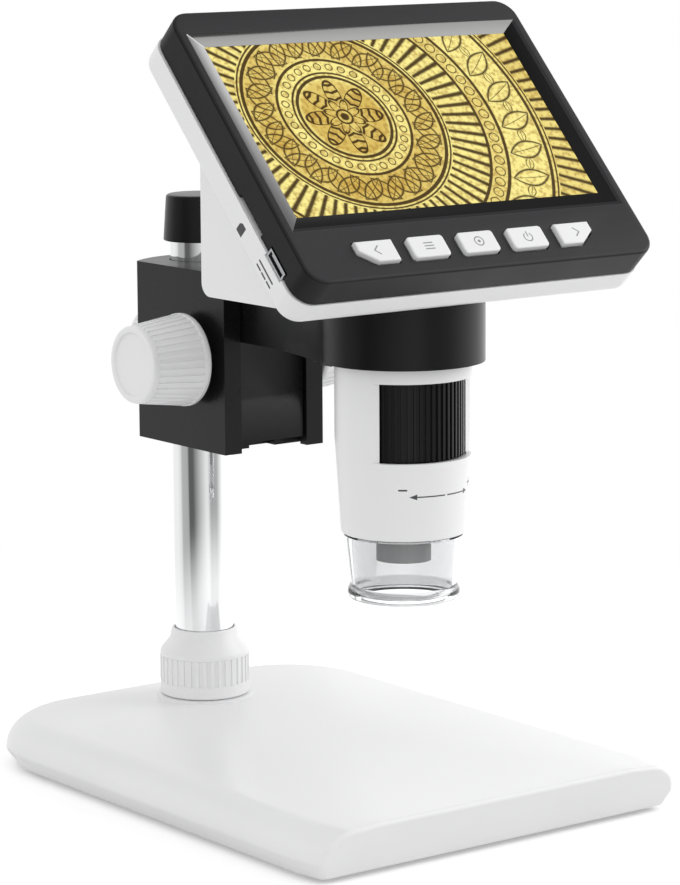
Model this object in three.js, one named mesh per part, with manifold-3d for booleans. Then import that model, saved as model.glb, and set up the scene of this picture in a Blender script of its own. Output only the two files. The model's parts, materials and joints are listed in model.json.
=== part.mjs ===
// Desktop digital microscope with a tilted screen: a moulded base and a chrome pole carry a clamped
// carriage, whose rack-and-pinion slide holds the screen head by its barrel.
// Millimetres, +Z up, the user stands at -Y. The origin is on the floor under the middle of the base.
import * as THREE from "three";
import { mergeVertices } from "three/addons/utils/BufferGeometryUtils.js";
import Module from "manifold-3d";

// Facets, clearances and overruns.
const ROUND = 24; // facets round a large circle
const SMALL_ROUND = 12; // facets round a small circle
const CORNER = 4; // facets round a quarter circle
const SHOULDER_STEPS = 4; // facets down the base's rounded shoulder
const GAP = 0.3; // between pieces that touch or run on each other
const OVERRUN = 4; // how far a cut runs past the face that it cuts
const SINK = 0.6; // how far a joined shape reaches into its carrier

// Base: a pillow-shaped shell with an undercut rim, cut by a leaning front face.
const BASE_WIDTH = 117.6;
const BASE_DEPTH = 163;
const BASE_CORNER = 30;
const BASE_MIN_CORNER = 1.5;
const BASE_WALL = 2.4;
const BASE_RIM_RISE = 3.6; // from the underside to the widest line
const BASE_EDGE_THICKNESS = 12.1; // from the underside to the top of the shoulder
const BASE_CROWN = 2;
const BASE_SHOULDER = 9.7;
const BASE_UNDERCUT = 2.2;
const BASE_FRONT_RISE = 9; // height of the leaning front face
const BASE_FRONT_UNDERCUT = 2.9;
const BASE_FRONT_CUT = 20; // what the front face cuts off the rounded outline
const CROWN_SHARES = [0.4, 0.8];
const FOOT_HEIGHT = 1.5;
const FOOT_RADIUS = 5.5;
const FOOT_INSET = 17; // from the base's sides to a foot's centre
const COVER_THICKNESS = 2;
const BALLAST_WIDTH = 84;
const BALLAST_DEPTH = 92;
const BALLAST_THICKNESS = 4;
const BALLAST_BEHIND_FRONT = 14; // from the front of the cavity
const BASE_SCREW_INSET = 11; // from a foot's centre inwards to its screw
const BASE_SCREW_RADIUS = 1.5;
const BASE_SCREW_HEAD_RADIUS = 2.8;
const BASE_SCREW_HEAD_HEIGHT = 1.4;
const BASE_SCREW_LENGTH = 7;
const BASE_BOSS_RADIUS = 3.6;

// Pole with the nut that clamps its foot.
const POLE_FROM_BACK = 31.6; // from the base's back to the pole's axis
const POLE_RADIUS = 8;
const POLE_WALL = 1.2;
const POLE_TOP = 152.7;
const SOCKET_RADIUS = 12; // boss below the base's top
const SOCKET_FLOOR = 2.5;
const SPIGOT_RADIUS = 10; // threaded spigot above the base's top
const SPIGOT_HEIGHT = 10.4;
const PAD_RADIUS = 13.3; // flat pad under the nut
const POLE_SCREW_RADIUS = 2.5;
const POLE_SCREW_HEAD_RADIUS = 4.2;
const POLE_SCREW_HEAD_HEIGHT = 2.4;
const PLUG_HEIGHT = 11;
const NUT_RADIUS = 12.1;
const NUT_BAND = 3.4; // smooth band under the ribs
const NUT_RIB_HEIGHT = 7.3;
const NUT_BARREL_HEIGHT = 12.3;
const NUT_HEIGHT = 18.3;
const NUT_NECK_RADIUS = 9.1;
const NUT_CONE_HEIGHT = 5;
const NUT_CONE_TOP_RADIUS = 9;
const CLAMP_RING_STEP = 0.1; // its foot inside the side of the spigot
const NUT_RIBS = 32;
const RIB_DEPTH = 0.55;
const CAP_SKIRT = 10.9; // how far the pole cap reaches down the pole
const CAP_BOTTOM_RADIUS = 9.8;
const CAP_TOP_RADIUS = 9;
const CAP_ROOF = 1.3;
const CAP_EDGE = 0.6;

// Carriage on the pole.
const CARRIAGE_BOTTOM = 88.3;
const CARRIAGE_HEIGHT = 48.2;
const CARRIAGE_HALF_WIDTH = 16.1;
const CARRIAGE_AHEAD = 34; // its front face ahead of the pole's axis
const CARRIAGE_SIDE_BEHIND = 6.7; // where the flat sides end, behind the pole's axis
const CARRIAGE_BEHIND = 12.7; // crest of the bowed back, behind the pole's axis
const BUSH_WALL = 1;
const BUSH_LIP = 0.9; // lips that hold the bush in the housing
const FLANGE_THICKNESS = 3; // front flanges that hold the slide
const CHANNEL_HALF_WIDTH = 10.7;
const TONGUE_HALF_WIDTH = 13.1;
const TONGUE_THICKNESS = 2.2;
const SLIDE_PLAY = 0.1; // more room at each side of the slide panel than the gap
const PANEL_RECESS = 1; // slide panel behind the flanges' faces
const PANEL_FOOT = 2.4; // slide panel above the carriage's underside
const RACK_GROOVE_HALF_WIDTH = 4.2;
const LOCK_HEIGHT = 24.3; // lock knob's axis above the carriage's underside
const LOCK_KNOB_RADIUS = 10.2;
const LOCK_KNOB_LENGTH = 8;
const LOCK_KNOB_RIBS = 24;
const LOCK_SCREW_RADIUS = 2;
const LOCK_PAD_THICKNESS = 1.2;
const KNOB_SKIN = 1.6; // material between a screw's or shaft's end and the knob's face

// Focus drive: a pinion on a cross shaft with a knob at each end.
const SHAFT_AHEAD = 20; // ahead of the pole's axis
const SHAFT_HEIGHT = 24.5; // above the carriage's underside
const SHAFT_RADIUS = 2.5;
const SHAFT_BUSH_RADIUS = 4.5;
const SHAFT_BUSH_LENGTH = 7;
const SHAFT_BUSH_FLANGE_RADIUS = 5.8;
const TOOTH_MODULE = 0.8;
const PINION_TEETH = 14;
const PINION_WIDTH = 8;
const TOOTH_ADDENDUM = 0.75;
const TOOTH_DEDENDUM = 1.05;
const BACKLASH = 0.3;
const TOOTH_TIP_SHARE = 0.45; // a tooth's width at its tip, of its width at the pitch line
const TOOTH_ROOT_SHARE = 1.5;
const RACK_HALF_WIDTH = 3.5;
const RACK_TEETH = 17;
const PINION_CHAMBER_CLEARANCE = 1.2;
const KNOB_START = 18.5; // inner end of a focus knob, from the middle
const KNOB_LENGTH = 17.5;
const KNOB_INNER_RADIUS = 11.9;
const KNOB_OUTER_RADIUS = 9.8;
const KNOB_BAND = 2; // smooth band at each end
const KNOB_EDGE = 0.8;
const KNOB_DISH = 0.7; // shallow dish in the end face
const KNOB_RIM = 1.3;
const KNOB_RIBS = 32;
const RIB_SHARE = 0.5; // half a rib's width at its root, of its pitch

// Slide with its arm and the ring that holds the scope.
const BARREL_AHEAD = 89.8; // its axis ahead of the pole's
const RING_RADIUS = 20.9;
const RING_WALL = 2;
const RING_HEIGHT = 16.6;
const LINER_WALL = 0.8;
const LINER_FLANGE = 0.8;
const LINER_FLANGE_RADIUS = 20.5;
const ARM_DROP = 0.8; // arm's underside below the ring's
const ARM_TOP_STEP = 1; // arm's top below the ring's
const ARM_HALF_WIDTH = 10.3;
const ARM_STRAIGHT = 3.4; // straight part in front of the carriage
const ARM_FLARE_ANGLE = 28; // where the flare meets the ring, degrees behind the ring's side
const ARM_FLARE_REACH = 24; // straightness of the flare
const ARM_FACETS = 8;

// Barrel: outside, window for the focus wheel, optics and lights.
const BARREL_RADIUS = 17.5;
const BARREL_LENGTH = 61.8;
const BARREL_STRAIGHT = 37.2;
const BARREL_TIP_RADIUS = 16;
const BARREL_TIP_EDGE = 0.5;
const BARREL_BORE_RADIUS = 16;
const BARREL_THROAT_RADIUS = 14.2;
const BARREL_MOUTH_RADIUS = 14.9;
const BARREL_MOUTH_DEPTH = 5.4;
const WINDOW_DROP = 21.9; // from the head's underside to the window's top
const WINDOW_HEIGHT = 20.2;
const WINDOW_HALF_ANGLE = 60;
const WINDOW_BEVEL_ANGLE = 6;
const WHEEL_RADIUS = 15.1;
const WHEEL_WALL = 2.1;
const WHEEL_PLAY = 0.1; // between the wheel and the ends of its window
const WHEEL_RIBS = 36;
const SLEEVE_BORE_RADIUS = 14;
const SLEEVE_FLANGE_RADIUS = 18;
const SLEEVE_FLANGE = 2.1;
const CARRIER_HEIGHT = 16;
const CARRIER_BORE_RADIUS = 7.7;
const CARRIER_SHELF = 4; // below the objective lens
const LENS_TUBE_RADIUS = 7;
const LENS_TUBE_BORE_RADIUS = 5;
const LENS_TUBE_LENGTH = 29;
const LENS_THICKNESS = 3;
const LENS_BULGE = 1;
const LENS_EDGE_SHARE = 0.7;
const LENS_BULGE_SHARE = 0.8;
const SENSOR_HEIGHT = 12; // sensor board above the focus wheel
const BOARD_THICKNESS = 1.6;
const SENSOR_HALF_SIZE = 4;
const SENSOR_THICKNESS = 1;
const LED_COUNT = 8;
const LED_HALF_SIZE = 1.4;
const LED_HEIGHT = 0.8;
const LED_BOARD_THICKNESS = 1.2;

// Clear nose cap.
const NOSE_TOP_RADIUS = 15.1;
const NOSE_WAIST_RADIUS = 13.6;
const NOSE_RIM_RADIUS = 14.4;
const NOSE_LIP_RADIUS = 10.8;
const NOSE_WALL = 1.2;
const NOSE_LENGTH = 16.8;
const NOSE_RIM_HEIGHT = 2.2;
const NOSE_WAIST_HEIGHT = 3.7;
const NOSE_ROUNDING = 1;
const NOSE_NECK = 3;

// Screen head, in its own tilted frame: x across, y up the screen, z out of the screen.
// The frame's origin is the middle of the picture on the cover glass.
const HEAD_TILT = 46;
const HEAD_AHEAD = 0.7; // middle of the picture ahead of the barrel's axis
const HEAD_ABOVE_SEAT = 42.05; // middle of the picture above the head's underside
const PICTURE_WIDTH = 95;
const PICTURE_HEIGHT = 53.9;
const HEAD_TOP = 37.5;
const HEAD_BOTTOM = 48;
const HEAD_CORNER = 5.5;
const BEZEL_WIDTH = 109;
const BEZEL_FACE = 1.8; // bezel's face above the glass
const BEZEL_DEPTH = 8.5;
const BEZEL_WALL = 1.6;
const BEZEL_EDGE = 0.8;
const RECESS_SIDE = 4.7; // width of the sloping walls round the picture
const RECESS_TOP = 3.5;
const RECESS_BOTTOM = 5.3;
const GLASS_MARGIN = 2;
const GLASS_THICKNESS = 1;
const PANEL_WIDTH = 105.2;
const PANEL_TOP = 33.5;
const PANEL_BOTTOM = 31.5;
const PANEL_THICKNESS = 3.2;
const SHELL_WIDTH = 110;
const SHELL_DEPTH = 8;
const SHELL_WALL = 1.8;
const SHELL_EDGE = 3;
const SHELL_EDGE_SHARES = [
  [0, 1],
  [0.29, 0.3],
  [1, 0],
]; // inset and depth shares of the rounded rear edge
const WEDGE_HALF_WIDTH = 47;
const WEDGE_BACK = 21.3; // back face behind the barrel's axis
const WEDGE_EDGE = 3.5;
const MAIN_BOARD_WIDTH = 88;
const MAIN_BOARD_TOP = 32;
const MAIN_BOARD_BOTTOM = 33;
const MAIN_BOARD_STEP = 0.9; // main board's face behind the shell's front edge
const POST_RADIUS = 2.2;
const POST_INSET = 5;
const CELL_RADIUS = 9;
const CELL_LENGTH = 65;
const CELL_HEIGHT = 14.2; // cell's axis above the head's underside
const CRADLE_X = 25;
const CRADLE_THICKNESS = 1.6;
const SHELL_SCREW_X = 50.3;
const SHELL_SCREW_Y = -43.5;
const SHELL_SCREW_RADIUS = 1.2;
const SHELL_SCREW_HEAD_RADIUS = 2.1;
const SHELL_SCREW_HEAD_HEIGHT = 1.6;
const SHELL_SCREW_LENGTH = 12.4;
const SCREW_BOSS_RADIUS = 2.8;
const POWER_SOCKET_Y = -35.5;
const POWER_SOCKET_WIDTH = 8;
const POWER_SOCKET_HEIGHT = 2.7;
const POWER_SOCKET_DEPTH = 5.6;
const SOCKET_METAL = 0.5;
const SOCKET_TONGUE = 0.5;
const CARD_SLOT_Y = -20.5;
const CARD_SLOT_WIDTH = 11.6;
const CARD_SLOT_HEIGHT = 1.3;
const CARD_SOCKET_DEPTH = 14;
const CARD_SOCKET_METAL = 0.6;

// Push buttons under the screen.
const BUTTON_Y = -40.7;
const BUTTON_PITCH = 15.6;
const BUTTON_SHIFT = -0.6; // row's middle from the head's middle
const BUTTON_WIDTH = 11.1;
const BUTTON_HEIGHT = 6.4;
const BUTTON_RISE = 1.2; // above the bezel's face
const BUTTON_CORNER = 1;
const BUTTON_EDGE = 0.4;
const BUTTON_FLANGE = 0.7;
const BUTTON_FLANGE_THICKNESS = 1;
const BUTTON_STEM_RADIUS = 1.3;
const BUTTON_STEM_LENGTH = 2.2;
const BUTTON_CUT_SHARES = [0.42, 0.55]; // cut corner of the outer buttons, of width and height
const SWITCH_WIDTH = 5;
const SWITCH_DEPTH = 4;
const SWITCH_HEIGHT = 1.2;
const PLUNGER_GAP = 0.8; // switch plunger below the button's stem
const PLUNGER_HEIGHT = 0.3;
const BUTTON_BOARD_WIDTH = 84;
const BUTTON_BOARD_TOP = -34.6;
const BUTTON_BOARD_BOTTOM = -46;
const BUTTON_BOARD_THICKNESS = 1.2;
const BOARD_POST_RADIUS = 1.2;

// Places worked out from the sizes above.
const underside = FOOT_HEIGHT;
const poleY = BASE_DEPTH / 2 - POLE_FROM_BACK;
const carriageFront = poleY - CARRIAGE_AHEAD;
const carriageSideBack = poleY + CARRIAGE_SIDE_BEHIND;
const carriageBack = poleY + CARRIAGE_BEHIND;
const shaftY = poleY - SHAFT_AHEAD;
const barrelY = poleY - BARREL_AHEAD;
const headY = barrelY - HEAD_AHEAD;
const baseTop = underside + BASE_EDGE_THICKNESS + BASE_CROWN;
const coverTop = underside + GAP + COVER_THICKNESS;
const nutBottom = baseTop + GAP;
const carriageTop = CARRIAGE_BOTTOM + CARRIAGE_HEIGHT;
const seat = carriageTop + GAP; // underside of the screen head
const shaftZ = CARRIAGE_BOTTOM + SHAFT_HEIGHT;
const ringTop = seat - GAP - LINER_FLANGE - GAP;
const ringBottom = ringTop - RING_HEIGHT;
const ringBore = RING_RADIUS - RING_WALL;
const linerRadius = ringBore - GAP;
const barrelTop = seat - GAP;
const barrelBottom = barrelTop - BARREL_LENGTH;
const windowTop = seat - WINDOW_DROP;
const windowBottom = windowTop - WINDOW_HEIGHT;
const bushRadius = POLE_RADIUS + GAP + BUSH_WALL;
const carriageBore = bushRadius + GAP;
const flangeBack = carriageFront + FLANGE_THICKNESS;
const tongueFront = flangeBack + GAP;
const tongueBack = tongueFront + TONGUE_THICKNESS;
const channelBack = tongueBack + GAP;
const pitchRadius = (TOOTH_MODULE * PINION_TEETH) / 2;
const toothPitch = Math.PI * TOOTH_MODULE;
const tilt = THREE.MathUtils.degToRad(HEAD_TILT);
const headZ = seat + HEAD_ABOVE_SEAT;
const bezelBack = BEZEL_FACE - BEZEL_DEPTH;
const plateBack = GAP; // back of the bezel's front plate
const shellFront = bezelBack - GAP;
const shellBack = shellFront - SHELL_DEPTH;
const panelFront = -GLASS_THICKNESS - GAP;
const mainBoardFace = shellFront - MAIN_BOARD_STEP;
const socketFloor = mainBoardFace + GAP;
const buttonFoot = -BUTTON_FLANGE_THICKNESS - BUTTON_STEM_LENGTH;
const plungerTop = buttonFoot - PLUNGER_GAP;
const buttonBoardFace = plungerTop - PLUNGER_HEIGHT - SWITCH_HEIGHT;

const wasm = await Module();
wasm.setup();

// A closed three.js geometry as a solid that can be joined and cut.
function solid(geometry) {
  const bare = geometry.index ? geometry.toNonIndexed() : geometry;
  const points = new THREE.BufferGeometry().setAttribute("position", bare.getAttribute("position"));
  const merged = mergeVertices(points);
  const corners = merged.index.array;
  const kept = [];
  for (let i = 0; i < corners.length; i += 3) {
    const [a, b, c] = corners.slice(i, i + 3);
    if (a !== b && b !== c && c !== a) kept.push(a, b, c);
  }
  const vertProperties = new Float32Array(merged.attributes.position.array);
  const triVerts = new Uint32Array(kept);
  return new wasm.Manifold(new wasm.Mesh({ numProp: 3, vertProperties, triVerts }));
}

function join(...parts) {
  return parts.reduce((whole, part) => whole.add(part));
}

function cut(whole, ...tools) {
  return tools.reduce((rest, tool) => rest.subtract(tool), whole);
}

// A named mesh of a solid.
function piece(name, made, material) {
  const { vertProperties, triVerts } = made.getMesh();
  const geometry = new THREE.BufferGeometry();
  geometry.setAttribute("position", new THREE.BufferAttribute(vertProperties, 3));
  geometry.setIndex(new THREE.BufferAttribute(triVerts, 1));
  geometry.computeVertexNormals();
  const mesh = new THREE.Mesh(geometry, material);
  mesh.name = name;
  return mesh;
}

// A solid of revolution about Z. The profile is a list of [radius, height] that goes up the outside.
function revolve(profile, facets = ROUND) {
  const points = profile.map(([radius, height]) => new THREE.Vector2(radius, height));
  if (profile[0][0] > 0) points.push(points[0].clone());
  return solid(new THREE.LatheGeometry(points, facets).rotateX(Math.PI / 2));
}

function disc(radius, from, to, facets = ROUND) {
  return revolve([[0, from], [radius, from], [radius, to], [0, to]], facets);
}

function tube(outer, inner, from, to, facets = ROUND) {
  return revolve([[inner, from], [outer, from], [outer, to], [inner, to]], facets);
}

// The same disc at another place, or along X or Y.
function peg(radius, from, to, x, y, facets = SMALL_ROUND) {
  const profile = [[0, from], [radius, from], [radius, to], [0, to]];
  const points = profile.map(([r, height]) => new THREE.Vector2(r, height));
  return solid(new THREE.LatheGeometry(points, facets).rotateX(Math.PI / 2).translate(x, y, 0));
}

function pegX(radius, from, to, y, z, facets = SMALL_ROUND) {
  const length = to - from;
  const geometry = new THREE.CylinderGeometry(radius, radius, length, facets).rotateZ(Math.PI / 2);
  return solid(geometry.translate(from + length / 2, y, z));
}

function pegY(radius, from, to, x, z, facets = SMALL_ROUND) {
  const length = to - from;
  const geometry = new THREE.CylinderGeometry(radius, radius, length, facets);
  return solid(geometry.translate(x, from + length / 2, z));
}

function block([x0, x1], [y0, y1], [z0, z1]) {
  const geometry = new THREE.BoxGeometry(x1 - x0, y1 - y0, z1 - z0);
  return solid(geometry.translate((x0 + x1) / 2, (y0 + y1) / 2, (z0 + z1) / 2));
}

// A flat outline raised along Z, or laid in the YZ plane and drawn out along X.
function raise(shape, from, to) {
  const settings = { depth: to - from, bevelEnabled: false, curveSegments: CORNER };
  return solid(new THREE.ExtrudeGeometry(shape, settings).translate(0, 0, from));
}

function drawnAlongX(points, halfWidth) {
  const shape = new THREE.Shape(points.map(([y, z]) => new THREE.Vector2(y, z)));
  const geometry = new THREE.ExtrudeGeometry(shape, { depth: 2 * halfWidth, bevelEnabled: false });
  const turn = new THREE.Matrix4().makeBasis(
    new THREE.Vector3(0, 1, 0),
    new THREE.Vector3(0, 0, 1),
    new THREE.Vector3(1, 0, 0),
  );
  return geometry.applyMatrix4(turn).translate(-halfWidth, 0, 0);
}

// Points of a rectangle with round corners, anticlockwise.
function roundedOutline(x0, x1, y0, y1, radius) {
  const corners = [
    [x1 - radius, y1 - radius, 0],
    [x0 + radius, y1 - radius, 1],
    [x0 + radius, y0 + radius, 2],
    [x1 - radius, y0 + radius, 3],
  ];
  const points = [];
  for (const [cx, cy, quarter] of corners)
    for (let i = 0; i <= CORNER; i++) {
      const angle = ((quarter + i / CORNER) * Math.PI) / 2;
      points.push([cx + radius * Math.cos(angle), cy + radius * Math.sin(angle)]);
    }
  return points;
}

function outlineShape(points) {
  return new THREE.Shape(points.map(([x, y]) => new THREE.Vector2(x, y)));
}

// A skin over rings of equal counts, closed by a flat fan at both ends.
function loft(rings) {
  const count = rings[0].points.length;
  const triangles = [];
  const at = (ring, i) => [...ring.points[i % count], ring.z];
  const middle = (ring) => {
    const sum = ring.points.reduce(([sx, sy], [x, y]) => [sx + x, sy + y], [0, 0]);
    return [sum[0] / count, sum[1] / count, ring.z];
  };
  rings.slice(1).forEach((upper, k) => {
    const lower = rings[k];
    for (let i = 0; i < count; i++) {
      triangles.push(at(lower, i), at(lower, i + 1), at(upper, i + 1));
      triangles.push(at(lower, i), at(upper, i + 1), at(upper, i));
    }
  });
  const first = rings[0];
  const last = rings[rings.length - 1];
  for (let i = 0; i < count; i++) {
    triangles.push(middle(first), at(first, i + 1), at(first, i));
    triangles.push(middle(last), at(last, i), at(last, i + 1));
  }
  const positions = new THREE.Float32BufferAttribute(triangles.flat(), 3);
  return new THREE.BufferGeometry().setAttribute("position", positions);
}

// Ribs round a body of revolution between two places on its side, each over an edge of its facets.
// Their roots lie inside the body.
function ribs(count, [fromRadius, from], [toRadius, to]) {
  const ring = (radius, z) => {
    const points = [];
    for (let i = 0; i < count; i++)
      for (const [share, r] of [
        [-RIB_SHARE, radius - SINK],
        [0, radius + RIB_DEPTH],
        [RIB_SHARE, radius - SINK],
      ]) {
        const angle = ((i + share) * 2 * Math.PI) / count;
        points.push([r * Math.cos(angle), r * Math.sin(angle)]);
      }
    return { points, z };
  };
  const core = revolve([
    [0, from - OVERRUN],
    [fromRadius - 2 * SINK, from - OVERRUN],
    [toRadius - 2 * SINK, to + OVERRUN],
    [0, to + OVERRUN],
  ], count);
  return cut(solid(loft([ring(fromRadius, from), ring(toRadius, to)])), core);
}

// Materials.
function plastic(color, roughness) {
  return new THREE.MeshStandardMaterial({ color, roughness, metalness: 0 });
}

function metal(color, roughness) {
  return new THREE.MeshStandardMaterial({ color, roughness, metalness: 1 });
}

function clear(color, opacity) {
  const look = { color, opacity, transparent: true, roughness: 0.05, metalness: 0 };
  return new THREE.MeshStandardMaterial(look);
}

const whiteShell = plastic(0xf2f2f2, 0.35);
const blackShell = plastic(0x1c1c1d, 0.5);
const darkRubber = plastic(0x202020, 0.9);
const circuitGreen = plastic(0x1f5a3a, 0.6);
const cellBlue = plastic(0x2e5fa8, 0.45);
const nylon = plastic(0xd9d6cc, 0.5);
const chrome = metal(0xe8eaec, 0.08);
const steel = metal(0xb4b8bc, 0.35);
const brass = metal(0xc8a24a, 0.35);
const clearPlastic = clear(0xf4f8fa, 0.35);
const coverGlass = clear(0xe9c964, 0.6);

// Base shell: rings of the pillow, inset and raised, for the outside or for the cavity.
function basePillow(wall) {
  const rimZ = underside + BASE_RIM_RISE;
  const edgeZ = underside + BASE_EDGE_THICKNESS - wall;
  const ring = (inset, z) => {
    const x = BASE_WIDTH / 2 - inset;
    const back = BASE_DEPTH / 2 - inset;
    const front = -BASE_DEPTH / 2 - BASE_FRONT_CUT + inset;
    const radius = Math.max(BASE_CORNER - inset, BASE_MIN_CORNER);
    return { points: roundedOutline(-x, x, front, back, radius), z };
  };
  const rings = [];
  if (wall > 0) rings.push(ring(BASE_UNDERCUT + wall, underside - OVERRUN));
  rings.push(ring(BASE_UNDERCUT + wall, underside), ring(wall, rimZ));
  const steps = wall > 0 ? SHOULDER_STEPS - 2 : SHOULDER_STEPS;
  for (let i = 1; i <= steps; i++) {
    const angle = ((1 - i / steps) * Math.PI) / 2;
    const inset = BASE_SHOULDER * (1 - Math.sin(angle));
    rings.push(ring(wall + inset, rimZ + (edgeZ - rimZ) * Math.cos(angle)));
  }
  if (wall === 0)
    for (const share of CROWN_SHARES) {
      const inset = BASE_SHOULDER + share * (BASE_WIDTH / 2 - BASE_SHOULDER);
      rings.push(ring(inset, edgeZ + BASE_CROWN * (1 - (1 - share) ** 2)));
    }
  const lean = BASE_FRONT_UNDERCUT / BASE_FRONT_RISE;
  const frontY = -BASE_DEPTH / 2 + wall;
  const low = [frontY + BASE_FRONT_UNDERCUT + lean * OVERRUN, underside - OVERRUN];
  const edge = [frontY, underside + BASE_FRONT_RISE];
  const high = [frontY, underside + BASE_EDGE_THICKNESS + BASE_CROWN + OVERRUN];
  const reach = frontY - BASE_FRONT_CUT - OVERRUN;
  const frontTool = drawnAlongX([low, edge, high, [reach, high[1]], [reach, low[1]]], BASE_WIDTH);
  return cut(solid(loft(rings)), solid(frontTool));
}

// Places of the four feet, and of the screw beside each foot.
function footPlaces() {
  const x = BASE_WIDTH / 2 - FOOT_INSET;
  const y = BASE_DEPTH / 2 - FOOT_INSET;
  const named = [];
  for (const [side, sx] of [["left", -1], ["right", 1]])
    for (const [end, sy] of [["front", -1], ["back", 1]])
      named.push({
        name: `${end}_${side}`,
        foot: [sx * x, sy * y],
        screw: [sx * x, sy * (y - BASE_SCREW_INSET)],
      });
  return named;
}

function baseShell() {
  const hollow = cut(basePillow(0), basePillow(BASE_WALL));
  const roof = underside + BASE_EDGE_THICKNESS - SINK;
  const pad = peg(PAD_RADIUS, roof - BASE_WALL, baseTop, 0, poleY, ROUND);
  const socket = peg(SOCKET_RADIUS, coverTop + GAP, roof, 0, poleY, ROUND);
  const spigot = peg(SPIGOT_RADIUS, roof, baseTop + SPIGOT_HEIGHT, 0, poleY, ROUND);
  const floorTop = socketFloorTop();
  const bore = peg(POLE_RADIUS + GAP, floorTop, baseTop + SPIGOT_HEIGHT + OVERRUN, 0, poleY, ROUND);
  const screwHole = peg(POLE_SCREW_RADIUS + GAP, underside, floorTop + SINK, 0, poleY);
  const headBore = peg(POLE_SCREW_HEAD_RADIUS + GAP, underside, floorTop - SOCKET_FLOOR, 0, poleY);
  const bosses = footPlaces().map(({ screw: [x, y] }) =>
    peg(BASE_BOSS_RADIUS, coverTop + GAP, roof, x, y));
  const pilots = footPlaces().map(({ screw: [x, y] }) =>
    peg(BASE_SCREW_RADIUS + GAP, underside, underside + BASE_SCREW_LENGTH + GAP, x, y));
  return cut(join(hollow, pad, socket, spigot, ...bosses), bore, screwHole, headBore, ...pilots);
}

function socketFloorTop() {
  return coverTop + GAP + POLE_SCREW_HEAD_HEIGHT / 2 + SOCKET_FLOOR;
}

// Cover plate that closes the base from below.
function baseCover() {
  const inset = BASE_UNDERCUT + BASE_WALL + GAP;
  const x = BASE_WIDTH / 2 - inset;
  const front = -BASE_DEPTH / 2 + BASE_FRONT_UNDERCUT + BASE_WALL + GAP;
  const cutOff = -BASE_DEPTH / 2 - BASE_FRONT_CUT + inset;
  const back = BASE_DEPTH / 2 - inset;
  const radius = BASE_CORNER - inset;
  const outline = outlineShape(roundedOutline(-x, x, cutOff, back, radius));
  const frontTool = block([-BASE_WIDTH, BASE_WIDTH], [cutOff - OVERRUN, front], [0, coverTop + OVERRUN]);
  const plate = cut(raise(outline, underside + GAP, coverTop), frontTool);
  const access = peg(POLE_SCREW_HEAD_RADIUS + 2 * GAP, 0, coverTop + OVERRUN, 0, poleY, ROUND);
  const holes = footPlaces().map(({ screw: [sx, sy] }) =>
    join(
      peg(BASE_SCREW_RADIUS + GAP, 0, coverTop + OVERRUN, sx, sy),
      peg(BASE_SCREW_HEAD_RADIUS + GAP, 0, underside + BASE_SCREW_HEAD_HEIGHT + GAP, sx, sy),
    ));
  return cut(plate, access, ...holes);
}

// Screw with its head down, its head's underside at the given height.
function screw(radius, headRadius, headBottom, headHeight, tip) {
  const neck = headBottom + headHeight;
  const profile = [[0, headBottom], [headRadius, headBottom], [headRadius, neck]];
  profile.push([radius, neck], [radius, tip], [0, tip]);
  return revolve(profile, SMALL_ROUND);
}

function addBase(stand) {
  stand.add(piece("base_shell", baseShell(), whiteShell));
  stand.add(piece("base_cover", baseCover(), blackShell));
  const cavityFront = -BASE_DEPTH / 2 + BASE_FRONT_UNDERCUT + BASE_WALL;
  const ballastFront = cavityFront + BALLAST_BEHIND_FRONT;
  const ballastBottom = coverTop + GAP;
  const ballast = block(
    [-BALLAST_WIDTH / 2, BALLAST_WIDTH / 2],
    [ballastFront, ballastFront + BALLAST_DEPTH],
    [ballastBottom, ballastBottom + BALLAST_THICKNESS],
  );
  const clearances = footPlaces().map(({ screw: [x, y] }) =>
    peg(BASE_BOSS_RADIUS + GAP, 0, ballastBottom + BALLAST_THICKNESS + OVERRUN, x, y));
  stand.add(piece("ballast_plate", cut(ballast, ...clearances), steel));
  for (const { name, foot, screw: [x, y] } of footPlaces()) {
    const pad = piece(`foot_${name}`, disc(FOOT_RADIUS, 0, FOOT_HEIGHT, SMALL_ROUND), darkRubber);
    pad.position.set(foot[0], foot[1], 0);
    stand.add(pad);
    const shape = screw(
      BASE_SCREW_RADIUS,
      BASE_SCREW_HEAD_RADIUS,
      underside,
      BASE_SCREW_HEAD_HEIGHT,
      underside + BASE_SCREW_LENGTH,
    );
    const fastener = piece(`base_screw_${name}`, shape, steel);
    fastener.position.set(x, y, 0);
    stand.add(fastener);
  }
}

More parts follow.
